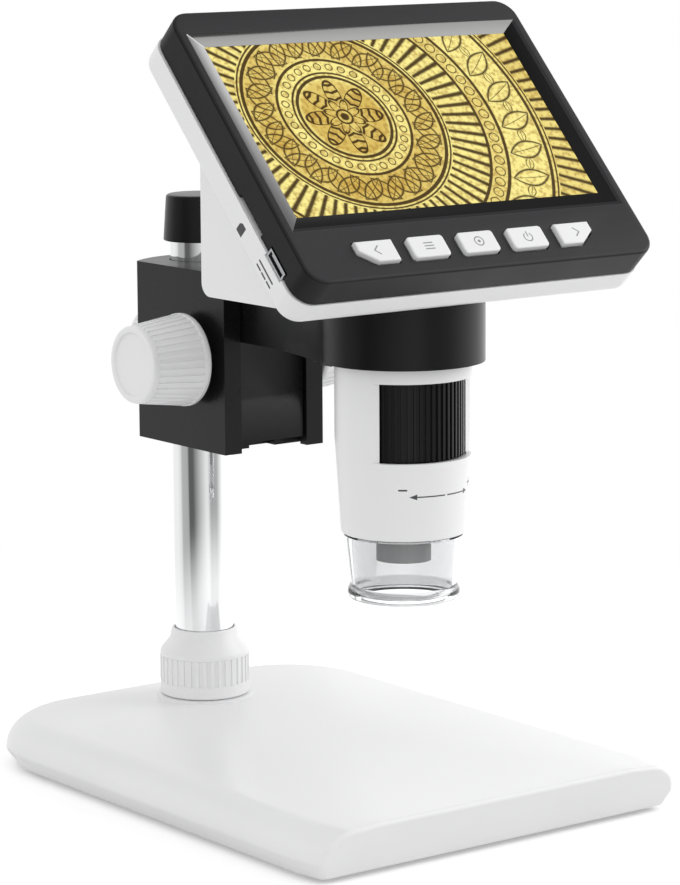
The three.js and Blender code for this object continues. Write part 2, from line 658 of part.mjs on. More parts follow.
// Pole with its foot screw, threaded plug, clamp ring and cap, about its own axis.
function addPole(stand) {
  const pole = new THREE.Group();
  pole.position.y = poleY;
  stand.add(pole);
  const foot = socketFloorTop() + GAP;
  const bore = POLE_RADIUS - POLE_WALL;
  pole.add(piece("pole_tube", tube(POLE_RADIUS, bore, foot, POLE_TOP), chrome));
  const plug = tube(bore - GAP, POLE_SCREW_RADIUS + GAP, foot, foot + PLUG_HEIGHT, SMALL_ROUND);
  pole.add(piece("pole_plug", plug, steel));
  const headTop = socketFloorTop() - SOCKET_FLOOR - GAP;
  const headBottom = headTop - POLE_SCREW_HEAD_HEIGHT;
  const tip = foot + PLUG_HEIGHT;
  const shape = screw(
    POLE_SCREW_RADIUS,
    POLE_SCREW_HEAD_RADIUS,
    headBottom,
    POLE_SCREW_HEAD_HEIGHT,
    tip,
  );
  pole.add(piece("pole_screw", shape, steel));
  const coneBottom = baseTop + SPIGOT_HEIGHT + GAP;
  const coneTop = coneBottom + NUT_CONE_HEIGHT - 2 * GAP;
  const clamp = revolve([
    [POLE_RADIUS + GAP, coneBottom],
    [SPIGOT_RADIUS - CLAMP_RING_STEP, coneBottom],
    [NUT_CONE_TOP_RADIUS - GAP, coneTop],
    [POLE_RADIUS + GAP, coneTop],
  ]);
  pole.add(piece("clamp_ring", clamp, nylon));
  const capTop = POLE_TOP + GAP + CAP_ROOF;
  const capBottom = POLE_TOP - CAP_SKIRT;
  const cap = revolve([
    [0, POLE_TOP + GAP],
    [POLE_RADIUS + GAP, POLE_TOP + GAP],
    [POLE_RADIUS + GAP, capBottom],
    [CAP_BOTTOM_RADIUS, capBottom],
    [CAP_TOP_RADIUS, capTop - CAP_EDGE],
    [CAP_TOP_RADIUS - CAP_EDGE, capTop],
    [0, capTop],
  ]);
  pole.add(piece("pole_cap", cap, blackShell));
}

// Ribbed nut that closes the clamp ring on the pole.
function collarNut() {
  const bore = SPIGOT_RADIUS + GAP;
  const coneBottom = baseTop + SPIGOT_HEIGHT + 2 * GAP;
  const body = revolve([
    [bore, nutBottom],
    [NUT_RADIUS, nutBottom],
    [NUT_RADIUS, nutBottom + NUT_BARREL_HEIGHT],
    [(NUT_RADIUS + NUT_NECK_RADIUS) / 2 + SINK, nutBottom + (NUT_BARREL_HEIGHT + NUT_HEIGHT) / 2],
    [NUT_NECK_RADIUS, nutBottom + NUT_HEIGHT - GAP],
    [NUT_NECK_RADIUS - GAP, nutBottom + NUT_HEIGHT],
    [POLE_RADIUS + GAP, nutBottom + NUT_HEIGHT],
    [POLE_RADIUS + GAP, coneBottom + NUT_CONE_HEIGHT],
    [NUT_CONE_TOP_RADIUS, coneBottom + NUT_CONE_HEIGHT],
    [bore, coneBottom],
  ], NUT_RIBS);
  const ribBottom = nutBottom + NUT_BAND;
  return join(body, ribs(NUT_RIBS, [NUT_RADIUS, ribBottom], [NUT_RADIUS, ribBottom + NUT_RIB_HEIGHT]));
}

// Carriage housing: a block with a bowed back, bored for the pole, with the slide's T-shaped channel.
function carriageHousing() {
  const w = CARRIAGE_HALF_WIDTH;
  const bow = carriageBack - carriageSideBack;
  const radius = (w * w + bow * bow) / (2 * bow);
  const centre = carriageBack - radius;
  const start = Math.atan2(carriageSideBack - centre, w);
  const outline = new THREE.Shape();
  outline.moveTo(-w, carriageFront).lineTo(w, carriageFront);
  outline.lineTo(w, carriageSideBack);
  outline.absarc(0, centre, radius, start, Math.PI - start, false);
  const body = raise(outline, CARRIAGE_BOTTOM, carriageTop);
  const through = [CARRIAGE_BOTTOM - OVERRUN, carriageTop + OVERRUN];
  const boreEnds = [CARRIAGE_BOTTOM + BUSH_LIP, carriageTop - BUSH_LIP];
  const bore = peg(carriageBore, ...boreEnds, 0, poleY, ROUND);
  const mouth = peg(POLE_RADIUS + GAP, ...through, 0, poleY, ROUND);
  const opening = block(
    [-CHANNEL_HALF_WIDTH, CHANNEL_HALF_WIDTH],
    [carriageFront - OVERRUN, flangeBack + SINK],
    through,
  );
  const tongueHalf = TONGUE_HALF_WIDTH + GAP;
  const undercut = block([-tongueHalf, tongueHalf], [flangeBack, channelBack], through);
  const rackDepth = shaftY - pitchRadius + TOOTH_ADDENDUM + GAP;
  const grooveHalf = RACK_GROOVE_HALF_WIDTH;
  const groove = block([-grooveHalf, grooveHalf], [flangeBack, rackDepth], through);
  const chamberReach = pitchRadius + TOOTH_ADDENDUM + PINION_CHAMBER_CLEARANCE;
  const chamberHalf = PINION_WIDTH / 2 + GAP;
  const chamber = block(
    [-chamberHalf, chamberHalf],
    [flangeBack, shaftY + chamberReach],
    [shaftZ - chamberReach, shaftZ + chamberReach],
  );
  const outside = w + OVERRUN;
  const shaftBore = pegX(SHAFT_BUSH_RADIUS + GAP, -outside, outside, shaftY, shaftZ);
  const lockZ = CARRIAGE_BOTTOM + LOCK_HEIGHT;
  const lockBore = pegY(
    LOCK_SCREW_RADIUS + GAP,
    poleY + POLE_RADIUS,
    carriageBack + OVERRUN,
    0,
    lockZ,
  );
  return cut(body, bore, mouth, opening, undercut, groove, chamber, shaftBore, lockBore);
}

function addCarriage(carriage) {
  carriage.add(piece("carriage_housing", carriageHousing(), blackShell));
  for (const [side, s] of [["left", -1], ["right", 1]]) {
    const inner = CARRIAGE_HALF_WIDTH + GAP - SHAFT_BUSH_LENGTH;
    const flangeFace = CARRIAGE_HALF_WIDTH + GAP;
    const bush = revolve(
      [
        [SHAFT_RADIUS + GAP, inner],
        [SHAFT_BUSH_RADIUS, inner],
        [SHAFT_BUSH_RADIUS, flangeFace],
        [SHAFT_BUSH_FLANGE_RADIUS, flangeFace],
        [SHAFT_BUSH_FLANGE_RADIUS, KNOB_START - GAP],
        [SHAFT_RADIUS + GAP, KNOB_START - GAP],
      ],
      SMALL_ROUND,
    );
    const mesh = piece(`shaft_bush_${side}`, bush, nylon);
    mesh.position.set(0, shaftY, shaftZ);
    mesh.rotation.y = (s * Math.PI) / 2;
    carriage.add(mesh);
  }
  const padFront = poleY + carriageBore;
  const padBack = padFront + LOCK_PAD_THICKNESS;
  const lockZ = CARRIAGE_BOTTOM + LOCK_HEIGHT;
  carriage.add(piece("lock_pad", pegY(LOCK_SCREW_RADIUS, padFront, padBack, 0, lockZ), brass));
}

// A ribbed knob about Z, its inner end at 0, bored for what carries it.
function knob(innerRadius, outerRadius, length, boreRadius, ribCount) {
  const boreEnd = length - KNOB_DISH - KNOB_SKIN;
  const bandRadius = (z) => innerRadius + ((outerRadius - innerRadius) * z) / length;
  const body = revolve([
    [0, 0],
    [innerRadius - KNOB_EDGE, 0],
    [innerRadius + RIB_DEPTH, KNOB_EDGE],
    [innerRadius + RIB_DEPTH, KNOB_BAND],
    [bandRadius(KNOB_BAND), KNOB_BAND],
    [bandRadius(length - KNOB_BAND), length - KNOB_BAND],
    [outerRadius + RIB_DEPTH, length - KNOB_BAND],
    [outerRadius, length],
    [outerRadius - KNOB_RIM, length],
    [outerRadius - KNOB_RIM, length - KNOB_DISH],
    [0, length - KNOB_DISH],
  ], ribCount);
  const [from, to] = [KNOB_BAND, length - KNOB_BAND];
  const ribbed = join(body, ribs(ribCount, [bandRadius(from), from], [bandRadius(to), to]));
  return cut(ribbed, disc(boreRadius, -OVERRUN, boreEnd, SMALL_ROUND));
}

function addLock(lock) {
  const lockZ = CARRIAGE_BOTTOM + LOCK_HEIGHT;
  const start = carriageBack + GAP;
  const taper = LOCK_KNOB_RADIUS - KNOB_EDGE;
  const bore = LOCK_SCREW_RADIUS + GAP;
  const shape = knob(LOCK_KNOB_RADIUS, taper, LOCK_KNOB_LENGTH, bore, LOCK_KNOB_RIBS);
  const handle = piece("lock_knob", shape, whiteShell);
  handle.position.set(0, start, lockZ);
  handle.rotation.x = -Math.PI / 2;
  lock.add(handle);
  const tip = poleY + carriageBore + LOCK_PAD_THICKNESS + GAP;
  const end = start + LOCK_KNOB_LENGTH - KNOB_DISH - KNOB_SKIN - GAP;
  lock.add(piece("lock_screw", pegY(LOCK_SCREW_RADIUS, tip, end, 0, lockZ), steel));
}

// Pinion about X with straight-sided teeth, one of them towards -Y.
function pinion() {
  const half = (toothPitch / 2 - BACKLASH) / 2;
  const points = [];
  for (let i = 0; i < PINION_TEETH; i++) {
    const middle = Math.PI + (i * 2 * Math.PI) / PINION_TEETH;
    for (const [radius, share] of [
      [pitchRadius - TOOTH_DEDENDUM, -TOOTH_ROOT_SHARE],
      [pitchRadius + TOOTH_ADDENDUM, -TOOTH_TIP_SHARE],
      [pitchRadius + TOOTH_ADDENDUM, TOOTH_TIP_SHARE],
      [pitchRadius - TOOTH_DEDENDUM, TOOTH_ROOT_SHARE],
    ]) {
      const angle = middle + (share * half) / pitchRadius;
      points.push([radius * Math.cos(angle), radius * Math.sin(angle)]);
    }
  }
  const wheel = solid(drawnAlongX(points, PINION_WIDTH / 2));
  return cut(wheel, pegX(SHAFT_RADIUS + GAP, -PINION_WIDTH, PINION_WIDTH, 0, 0));
}

function addDrive(drive) {
  const shaftEnd = KNOB_START + KNOB_LENGTH - KNOB_DISH - KNOB_SKIN - GAP;
  drive.add(piece("focus_shaft", pegX(SHAFT_RADIUS, -shaftEnd, shaftEnd, shaftY, shaftZ), steel));
  const gear = piece("focus_pinion", pinion(), brass);
  gear.position.set(0, shaftY, shaftZ);
  drive.add(gear);
  for (const [side, s] of [["left", -1], ["right", 1]]) {
    const shape = knob(KNOB_INNER_RADIUS, KNOB_OUTER_RADIUS, KNOB_LENGTH, SHAFT_RADIUS + GAP, KNOB_RIBS);
    const handle = piece(`focus_knob_${side}`, shape, whiteShell);
    handle.position.set(s * KNOB_START, shaftY, shaftZ);
    handle.rotation.y = (s * Math.PI) / 2;
    drive.add(handle);
  }
}

// Focus slide: a T-shaped plate in the carriage, a flaring arm and the ring round the barrel.
function focusArm() {
  const panelBottom = CARRIAGE_BOTTOM + PANEL_FOOT;
  const armTop = ringTop - ARM_TOP_STEP;
  const armBottom = ringBottom - ARM_DROP;
  const half = CHANNEL_HALF_WIDTH - GAP - SLIDE_PLAY;
  const panelFace = carriageFront + PANEL_RECESS;
  const panel = block([-half, half], [panelFace, tongueFront + SINK], [panelBottom, armTop]);
  const tongue = block(
    [-TONGUE_HALF_WIDTH, TONGUE_HALF_WIDTH],
    [tongueFront, tongueBack],
    [panelBottom, armTop],
  );
  const angle = THREE.MathUtils.degToRad(ARM_FLARE_ANGLE);
  const meetX = RING_RADIUS * Math.cos(angle);
  const meetY = barrelY + RING_RADIUS * Math.sin(angle);
  const straightEnd = carriageFront - ARM_STRAIGHT;
  const flare = new THREE.Shape();
  flare.moveTo(-ARM_HALF_WIDTH, panelFace + SINK).lineTo(-ARM_HALF_WIDTH, straightEnd);
  flare.quadraticCurveTo(-ARM_HALF_WIDTH, straightEnd - ARM_FLARE_REACH, -meetX, meetY);
  flare.lineTo(meetX, meetY);
  flare.quadraticCurveTo(ARM_HALF_WIDTH, straightEnd - ARM_FLARE_REACH, ARM_HALF_WIDTH, straightEnd);
  flare.lineTo(ARM_HALF_WIDTH, panelFace + SINK);
  const settings = { depth: armTop - armBottom, bevelEnabled: false, curveSegments: ARM_FACETS };
  const arm = solid(new THREE.ExtrudeGeometry(flare, settings).translate(0, 0, armBottom));
  const ring = peg(RING_RADIUS, ringBottom, ringTop, 0, barrelY, ROUND);
  const bore = peg(ringBore, armBottom - OVERRUN, ringTop + OVERRUN, 0, barrelY, ROUND);
  return cut(join(panel, tongue, arm, ring), bore);
}

// Rack on the slide's back, its teeth towards +Y, with a tooth gap level with the pinion's axis.
function focusRack() {
  const pitchY = shaftY - pitchRadius;
  const back = tongueBack + GAP;
  const root = pitchY - TOOTH_DEDENDUM;
  const tip = pitchY + TOOTH_ADDENDUM;
  const half = (toothPitch / 2 - BACKLASH) / 2;
  const bottom = CARRIAGE_BOTTOM + PANEL_FOOT + GAP;
  const first = Math.ceil((bottom + toothPitch / 2 - shaftZ) / toothPitch - 1 / 2);
  const points = [[back, bottom], [root, bottom]];
  for (let i = 0; i < RACK_TEETH; i++) {
    const z = shaftZ + (first + i + 1 / 2) * toothPitch;
    points.push([root, z - TOOTH_ROOT_SHARE * half], [tip, z - TOOTH_TIP_SHARE * half]);
    points.push([tip, z + TOOTH_TIP_SHARE * half], [root, z + TOOTH_ROOT_SHARE * half]);
  }
  const top = shaftZ + (first + RACK_TEETH) * toothPitch;
  points.push([root, top], [back, top]);
  return solid(drawnAlongX(points, RACK_HALF_WIDTH));
}

function holderLiner() {
  const bore = linerRadius - LINER_WALL;
  const bottom = ringBottom;
  const flangeBottom = ringTop + GAP;
  return revolve([
    [bore, bottom],
    [linerRadius, bottom],
    [linerRadius, flangeBottom],
    [LINER_FLANGE_RADIUS, flangeBottom],
    [LINER_FLANGE_RADIUS, flangeBottom + LINER_FLANGE],
    [bore, flangeBottom + LINER_FLANGE],
  ]);
}

// Barrel tube with the bevelled window in front of the focus wheel.
function barrelTube() {
  const body = revolve([
    [BARREL_MOUTH_RADIUS, barrelBottom],
    [BARREL_TIP_RADIUS - BARREL_TIP_EDGE, barrelBottom],
    [BARREL_TIP_RADIUS, barrelBottom + BARREL_TIP_EDGE],
    [BARREL_RADIUS, barrelTop - BARREL_STRAIGHT],
    [BARREL_RADIUS, barrelTop],
    [BARREL_BORE_RADIUS, barrelTop],
    [BARREL_BORE_RADIUS, windowBottom - GAP],
    [BARREL_THROAT_RADIUS, windowBottom - GAP],
    [BARREL_THROAT_RADIUS, barrelBottom + BARREL_MOUTH_DEPTH],
    [BARREL_MOUTH_RADIUS, barrelBottom + BARREL_MOUTH_DEPTH],
  ]);
  const front = -Math.PI / 2;
  const inner = THREE.MathUtils.degToRad(WINDOW_HALF_ANGLE);
  const outer = THREE.MathUtils.degToRad(WINDOW_HALF_ANGLE + WINDOW_BEVEL_ANGLE);
  const window = new THREE.Shape();
  const polar = (radius, angle) => [radius * Math.cos(front + angle), radius * Math.sin(front + angle)];
  window.moveTo(...polar(BARREL_BORE_RADIUS - SINK, -inner));
  window.lineTo(...polar(BARREL_BORE_RADIUS, -inner));
  window.lineTo(...polar(BARREL_RADIUS, -outer));
  window.absarc(0, 0, BARREL_RADIUS + OVERRUN, front - outer, front + outer, false);
  window.lineTo(...polar(BARREL_RADIUS, outer));
  window.lineTo(...polar(BARREL_BORE_RADIUS, inner));
  window.absarc(0, 0, BARREL_BORE_RADIUS - SINK, front + inner, front - inner, true);
  const settings = { depth: WINDOW_HEIGHT, bevelEnabled: false, curveSegments: 2 * CORNER };
  const tool = solid(new THREE.ExtrudeGeometry(window, settings).translate(0, 0, windowBottom));
  return cut(body, tool);
}

function focusWheel() {
  const bottom = windowBottom + WHEEL_PLAY;
  const top = windowTop - WHEEL_PLAY;
  const bore = WHEEL_RADIUS - WHEEL_WALL;
  const body = tube(WHEEL_RADIUS, bore, bottom, top, WHEEL_RIBS);
  return join(body, ribs(WHEEL_RIBS, [WHEEL_RADIUS, bottom + SINK], [WHEEL_RADIUS, top - SINK]));
}

// Sleeve that hangs from the head's floor and carries the barrel.
function barrelSleeve() {
  const radius = BARREL_BORE_RADIUS - GAP;
  const bottom = windowTop + GAP;
  const flangeBottom = seat + SHELL_WALL + GAP;
  return revolve([
    [SLEEVE_BORE_RADIUS, bottom],
    [radius, bottom],
    [radius, flangeBottom],
    [SLEEVE_FLANGE_RADIUS, flangeBottom],
    [SLEEVE_FLANGE_RADIUS, flangeBottom + SLEEVE_FLANGE],
    [SLEEVE_BORE_RADIUS, flangeBottom + SLEEVE_FLANGE],
  ]);
}

function carrierBottom() {
  return windowBottom + (WINDOW_HEIGHT - CARRIER_HEIGHT) / 2;
}

function lensCarrier() {
  const bottom = carrierBottom();
  const top = bottom + CARRIER_HEIGHT;
  const radius = WHEEL_RADIUS - WHEEL_WALL - GAP;
  return revolve([
    [LENS_TUBE_BORE_RADIUS, bottom - LENS_TUBE_LENGTH],
    [LENS_TUBE_RADIUS, bottom - LENS_TUBE_LENGTH],
    [LENS_TUBE_RADIUS, bottom],
    [radius, bottom],
    [radius, top],
    [CARRIER_BORE_RADIUS, top],
    [CARRIER_BORE_RADIUS, bottom + CARRIER_SHELF],
    [LENS_TUBE_BORE_RADIUS, bottom + CARRIER_SHELF],
  ]);
}

function objectiveLens() {
  const bottom = carrierBottom() + CARRIER_SHELF + GAP;
  const radius = CARRIER_BORE_RADIUS - GAP;
  const top = bottom + LENS_THICKNESS;
  return revolve(
    [
      [0, bottom],
      [radius, bottom],
      [radius, top],
      [LENS_EDGE_SHARE * radius, top + LENS_BULGE_SHARE * LENS_BULGE],
      [0, top + LENS_BULGE],
    ],
    SMALL_ROUND,
  );
}

function sensorBoard() {
  const bottom = windowTop + SENSOR_HEIGHT;
  const board = disc(SLEEVE_BORE_RADIUS - GAP, bottom, bottom + BOARD_THICKNESS, SMALL_ROUND);
  const half = SENSOR_HALF_SIZE;
  return join(board, block([-half, half], [-half, half], [bottom - SENSOR_THICKNESS, bottom + SINK]));
}

// Ring board with its lights, pressed up against the barrel's inner step.
function ledBoard() {
  const top = barrelBottom + BARREL_MOUTH_DEPTH - GAP;
  const bottom = top - LED_BOARD_THICKNESS;
  const outer = BARREL_MOUTH_RADIUS - GAP;
  const inner = LENS_TUBE_RADIUS + GAP;
  const place = (outer + inner) / 2;
  const lights = [];
  for (let i = 0; i < LED_COUNT; i++) {
    const angle = (i * 2 * Math.PI) / LED_COUNT;
    const geometry = new THREE.BoxGeometry(2 * LED_HALF_SIZE, 2 * LED_HALF_SIZE, LED_HEIGHT + SINK);
    geometry.translate(place, 0, bottom + (SINK - LED_HEIGHT) / 2).rotateZ(angle);
    lights.push(solid(geometry));
  }
  return join(tube(outer, inner, bottom, top), ...lights);
}

function noseCap() {
  const top = barrelBottom - GAP;
  const bottom = top - NOSE_LENGTH;
  const neck = BARREL_MOUTH_RADIUS - GAP;
  return revolve([
    [NOSE_LIP_RADIUS, bottom],
    [NOSE_RIM_RADIUS - NOSE_ROUNDING, bottom],
    [NOSE_RIM_RADIUS - GAP, bottom + NOSE_ROUNDING],
    [NOSE_RIM_RADIUS, bottom + NOSE_RIM_HEIGHT],
    [NOSE_WAIST_RADIUS, bottom + NOSE_WAIST_HEIGHT],
    [NOSE_TOP_RADIUS, top],
    [neck, top],
    [neck, top + NOSE_NECK],
    [neck - NOSE_WALL, top + NOSE_NECK],
    [neck - NOSE_WALL, top],
    [NOSE_WAIST_RADIUS - NOSE_WALL, bottom + NOSE_WAIST_HEIGHT],
    [NOSE_WAIST_RADIUS - NOSE_WALL, bottom + NOSE_WALL + NOSE_ROUNDING],
    [NOSE_LIP_RADIUS, bottom + NOSE_WALL],
  ]);
}

// Outline of one push button. The two outer ones have a cut lower corner.
function buttonOutline(index, grow) {
  const w = BUTTON_WIDTH / 2 + grow;
  const h = BUTTON_HEIGHT / 2 + grow;
  const x = BUTTON_SHIFT + (index - 2) * BUTTON_PITCH;
  if (index !== 0 && index !== 4)
    return roundedOutline(x - w, x + w, BUTTON_Y - h, BUTTON_Y + h, BUTTON_CORNER);
  const side = index === 0 ? -1 : 1;
  const cutWidth = BUTTON_CUT_SHARES[0] * BUTTON_WIDTH;
  const cutHeight = BUTTON_CUT_SHARES[1] * BUTTON_HEIGHT;
  const points = [[w, h], [-w, h], [-w, -h], [w - cutWidth, -h], [w, -h + cutHeight]];
  const placed = points.map(([px, py]) => [x + side * px, BUTTON_Y + py]);
  return side > 0 ? placed : placed.reverse();
}

function buttonNames() {
  return ["left", "menu", "middle", "power", "right"];
}

function button(index) {
  const top = BEZEL_FACE + BUTTON_RISE;
  const x = BUTTON_SHIFT + (index - 2) * BUTTON_PITCH;
  const cap = solid(loft([
    { points: buttonOutline(index, 0), z: -SINK },
    { points: buttonOutline(index, 0), z: top - BUTTON_EDGE },
    { points: buttonOutline(index, -BUTTON_EDGE), z: top },
  ]));
  const flange = raise(outlineShape(buttonOutline(index, BUTTON_FLANGE)), -BUTTON_FLANGE_THICKNESS, 0);
  return join(cap, flange, peg(BUTTON_STEM_RADIUS, buttonFoot, -SINK, x, BUTTON_Y, CORNER * 2));
}

function buttonBoard() {
  const half = BUTTON_BOARD_WIDTH / 2;
  const back = buttonBoardFace - BUTTON_BOARD_THICKNESS;
  const board = block([-half, half], [BUTTON_BOARD_BOTTOM, BUTTON_BOARD_TOP], [back, buttonBoardFace]);
  const switches = buttonNames().map((_, i) => {
    const x = BUTTON_SHIFT + (i - 2) * BUTTON_PITCH;
    const body = block(
      [x - SWITCH_WIDTH / 2, x + SWITCH_WIDTH / 2],
      [BUTTON_Y - SWITCH_DEPTH / 2, BUTTON_Y + SWITCH_DEPTH / 2],
      [buttonBoardFace - SINK, plungerTop - PLUNGER_HEIGHT],
    );
    return join(body, peg(BUTTON_STEM_RADIUS, buttonBoardFace, plungerTop, x, BUTTON_Y, CORNER * 2));
  });
  return join(board, ...switches);
}

// Cuts in the head's left side for the two sockets, shared by bezel and shell.
function sideCuts() {
  const reach = [-SHELL_WIDTH, -BEZEL_WIDTH / 2 + BEZEL_WALL + SHELL_WALL + GAP];
  const slot = (y, width, low, high) => {
    const half = width / 2 + GAP;
    return block(reach, [y - half, y + half], [low, high]);
  };
  const powerTop = socketFloor + POWER_SOCKET_HEIGHT;
  const cardBottom = socketFloor + CARD_SOCKET_METAL;
  return [
    slot(POWER_SOCKET_Y, POWER_SOCKET_WIDTH, socketFloor - GAP, powerTop + GAP),
    slot(CARD_SLOT_Y, CARD_SLOT_WIDTH, cardBottom, cardBottom + CARD_SLOT_HEIGHT),
  ];
}

function powerSocket() {
  const x0 = -SHELL_WIDTH / 2 + GAP;
  const x1 = x0 + POWER_SOCKET_DEPTH;
  const half = POWER_SOCKET_WIDTH / 2;
  const [low, high] = [socketFloor, socketFloor + POWER_SOCKET_HEIGHT];
  const m = SOCKET_METAL;
  const body = block([x0, x1], [POWER_SOCKET_Y - half, POWER_SOCKET_Y + half], [low, high]);
  const mouth = block(
    [x0 - OVERRUN, x1 - m],
    [POWER_SOCKET_Y - half + m, POWER_SOCKET_Y + half - m],
    [low + m, high - m],
  );
  const middle = (low + high) / 2;
  const tongue = block(
    [x0 + m, x1 - m / 2],
    [POWER_SOCKET_Y - half + 2 * m, POWER_SOCKET_Y + half - 2 * m],
    [middle - SOCKET_TONGUE / 2, middle + SOCKET_TONGUE / 2],
  );
  return join(cut(body, mouth), tongue);
}

function cardSocket() {
  const x0 = -BEZEL_WIDTH / 2 + BEZEL_WALL + SHELL_WALL;
  const x1 = x0 + CARD_SOCKET_DEPTH;
  const half = CARD_SLOT_WIDTH / 2;
  const m = CARD_SOCKET_METAL;
  const high = socketFloor + CARD_SLOT_HEIGHT + 2 * m;
  const body = block([x0, x1], [CARD_SLOT_Y - half, CARD_SLOT_Y + half], [socketFloor, high]);
  const mouth = block(
    [x0 - OVERRUN, x1 - m],
    [CARD_SLOT_Y - half + m, CARD_SLOT_Y + half - m],
    [socketFloor + m, high - m],
  );
  return cut(body, mouth);
}

// Front bezel: a shallow tray with a sloping recess round the picture and holes for the buttons.
function frontBezel() {
  const outline = (inset) => {
    const x = BEZEL_WIDTH / 2 - inset;
    return roundedOutline(-x, x, -HEAD_BOTTOM + inset, HEAD_TOP - inset, HEAD_CORNER - inset);
  };
  const outside = solid(loft([
    { points: outline(0), z: bezelBack },
    { points: outline(0), z: BEZEL_FACE - BEZEL_EDGE },
    { points: outline(BEZEL_EDGE), z: BEZEL_FACE },
  ]));
  const cavity = raise(outlineShape(outline(BEZEL_WALL)), bezelBack - OVERRUN, plateBack);
  const slope = (spread) => {
    const x = PICTURE_WIDTH / 2 + spread * RECESS_SIDE;
    const top = PICTURE_HEIGHT / 2 + spread * RECESS_TOP;
    const bottom = PICTURE_HEIGHT / 2 + spread * RECESS_BOTTOM;
    return [[x, top], [-x, top], [-x, -bottom], [x, -bottom]];
  };
  const rise = BEZEL_FACE - plateBack;
  const below = SINK / rise;
  const recess = solid(loft([
    { points: slope(0), z: plateBack - OVERRUN },
    { points: slope(0), z: plateBack },
    { points: slope(1 + below), z: BEZEL_FACE + below * rise },
  ]));
  const holes = buttonNames().map((_, i) =>
    raise(outlineShape(buttonOutline(i, GAP)), -OVERRUN, BEZEL_FACE + OVERRUN));
  const screwBosses = [-1, 1].map((s) =>
    peg(SCREW_BOSS_RADIUS, bezelBack, plateBack + SINK, s * SHELL_SCREW_X, SHELL_SCREW_Y));
  const pilots = [-1, 1].map((s) =>
    peg(
      SHELL_SCREW_RADIUS + GAP,
      bezelBack - OVERRUN,
      plateBack - SINK,
      s * SHELL_SCREW_X,
      SHELL_SCREW_Y,
    ));
  // The two board posts stand between the outer buttons and their neighbours.
  const boardPosts = [-1, 1].map((s) => {
    const x = BUTTON_SHIFT + s * (BUTTON_PITCH + BUTTON_PITCH / 2);
    return peg(BOARD_POST_RADIUS, buttonBoardFace + GAP, plateBack + SINK, x, BUTTON_Y);
  });
  const tray = cut(outside, cavity, recess, ...holes);
  return cut(join(tray, ...screwBosses, ...boardPosts), ...pilots, ...sideCuts());
}

function headFrame() {
  return new THREE.Matrix4().makeRotationX(tilt).setPosition(0, headY, headZ);
}

// Where a plane parallel to the screen, at the given depth, crosses a height or a distance.
function planeAtHeight(depth, z) {
  const up = (z - headZ - depth * Math.cos(tilt)) / Math.sin(tilt);
  return headY + up * Math.cos(tilt) - depth * Math.sin(tilt);
}

function planeAtDistance(depth, y) {
  const up = (y - headY + depth * Math.sin(tilt)) / Math.cos(tilt);
  return headZ + up * Math.sin(tilt) + depth * Math.cos(tilt);
}

// Upright wedge behind the screen, in the head's frame. Wall 0 is the outside.
function wedge(wall, halfWidth) {
  const back = barrelY + WEDGE_BACK - wall;
  const floor = seat + wall;
  const depth = wall > 0 ? shellBack + SHELL_WALL + SINK : shellBack + SHELL_WALL / 2;
  const radius = Math.max(WEDGE_EDGE - wall, SINK);
  const points = [[planeAtHeight(depth, floor), floor]];
  for (let i = 0; i <= CORNER; i++) {
    const angle = -Math.PI / 2 + (i / CORNER) * (Math.PI / 2);
    points.push([back - radius + radius * Math.cos(angle), floor + radius + radius * Math.sin(angle)]);
  }
  points.push([back, planeAtDistance(depth, back)]);
  return solid(drawnAlongX(points, halfWidth).applyMatrix4(headFrame().invert()));
}

// Something upright in the head's frame.
function uprightPeg(radius, from, to, y, facets) {
  const geometry = new THREE.CylinderGeometry(radius, radius, to - from, facets).rotateX(Math.PI / 2);
  return solid(geometry.translate(0, y, (from + to) / 2).applyMatrix4(headFrame().invert()));
}

function cellCentre() {
  return [barrelY + WEDGE_BACK - SHELL_WALL - GAP - CELL_RADIUS, seat + CELL_HEIGHT];
}

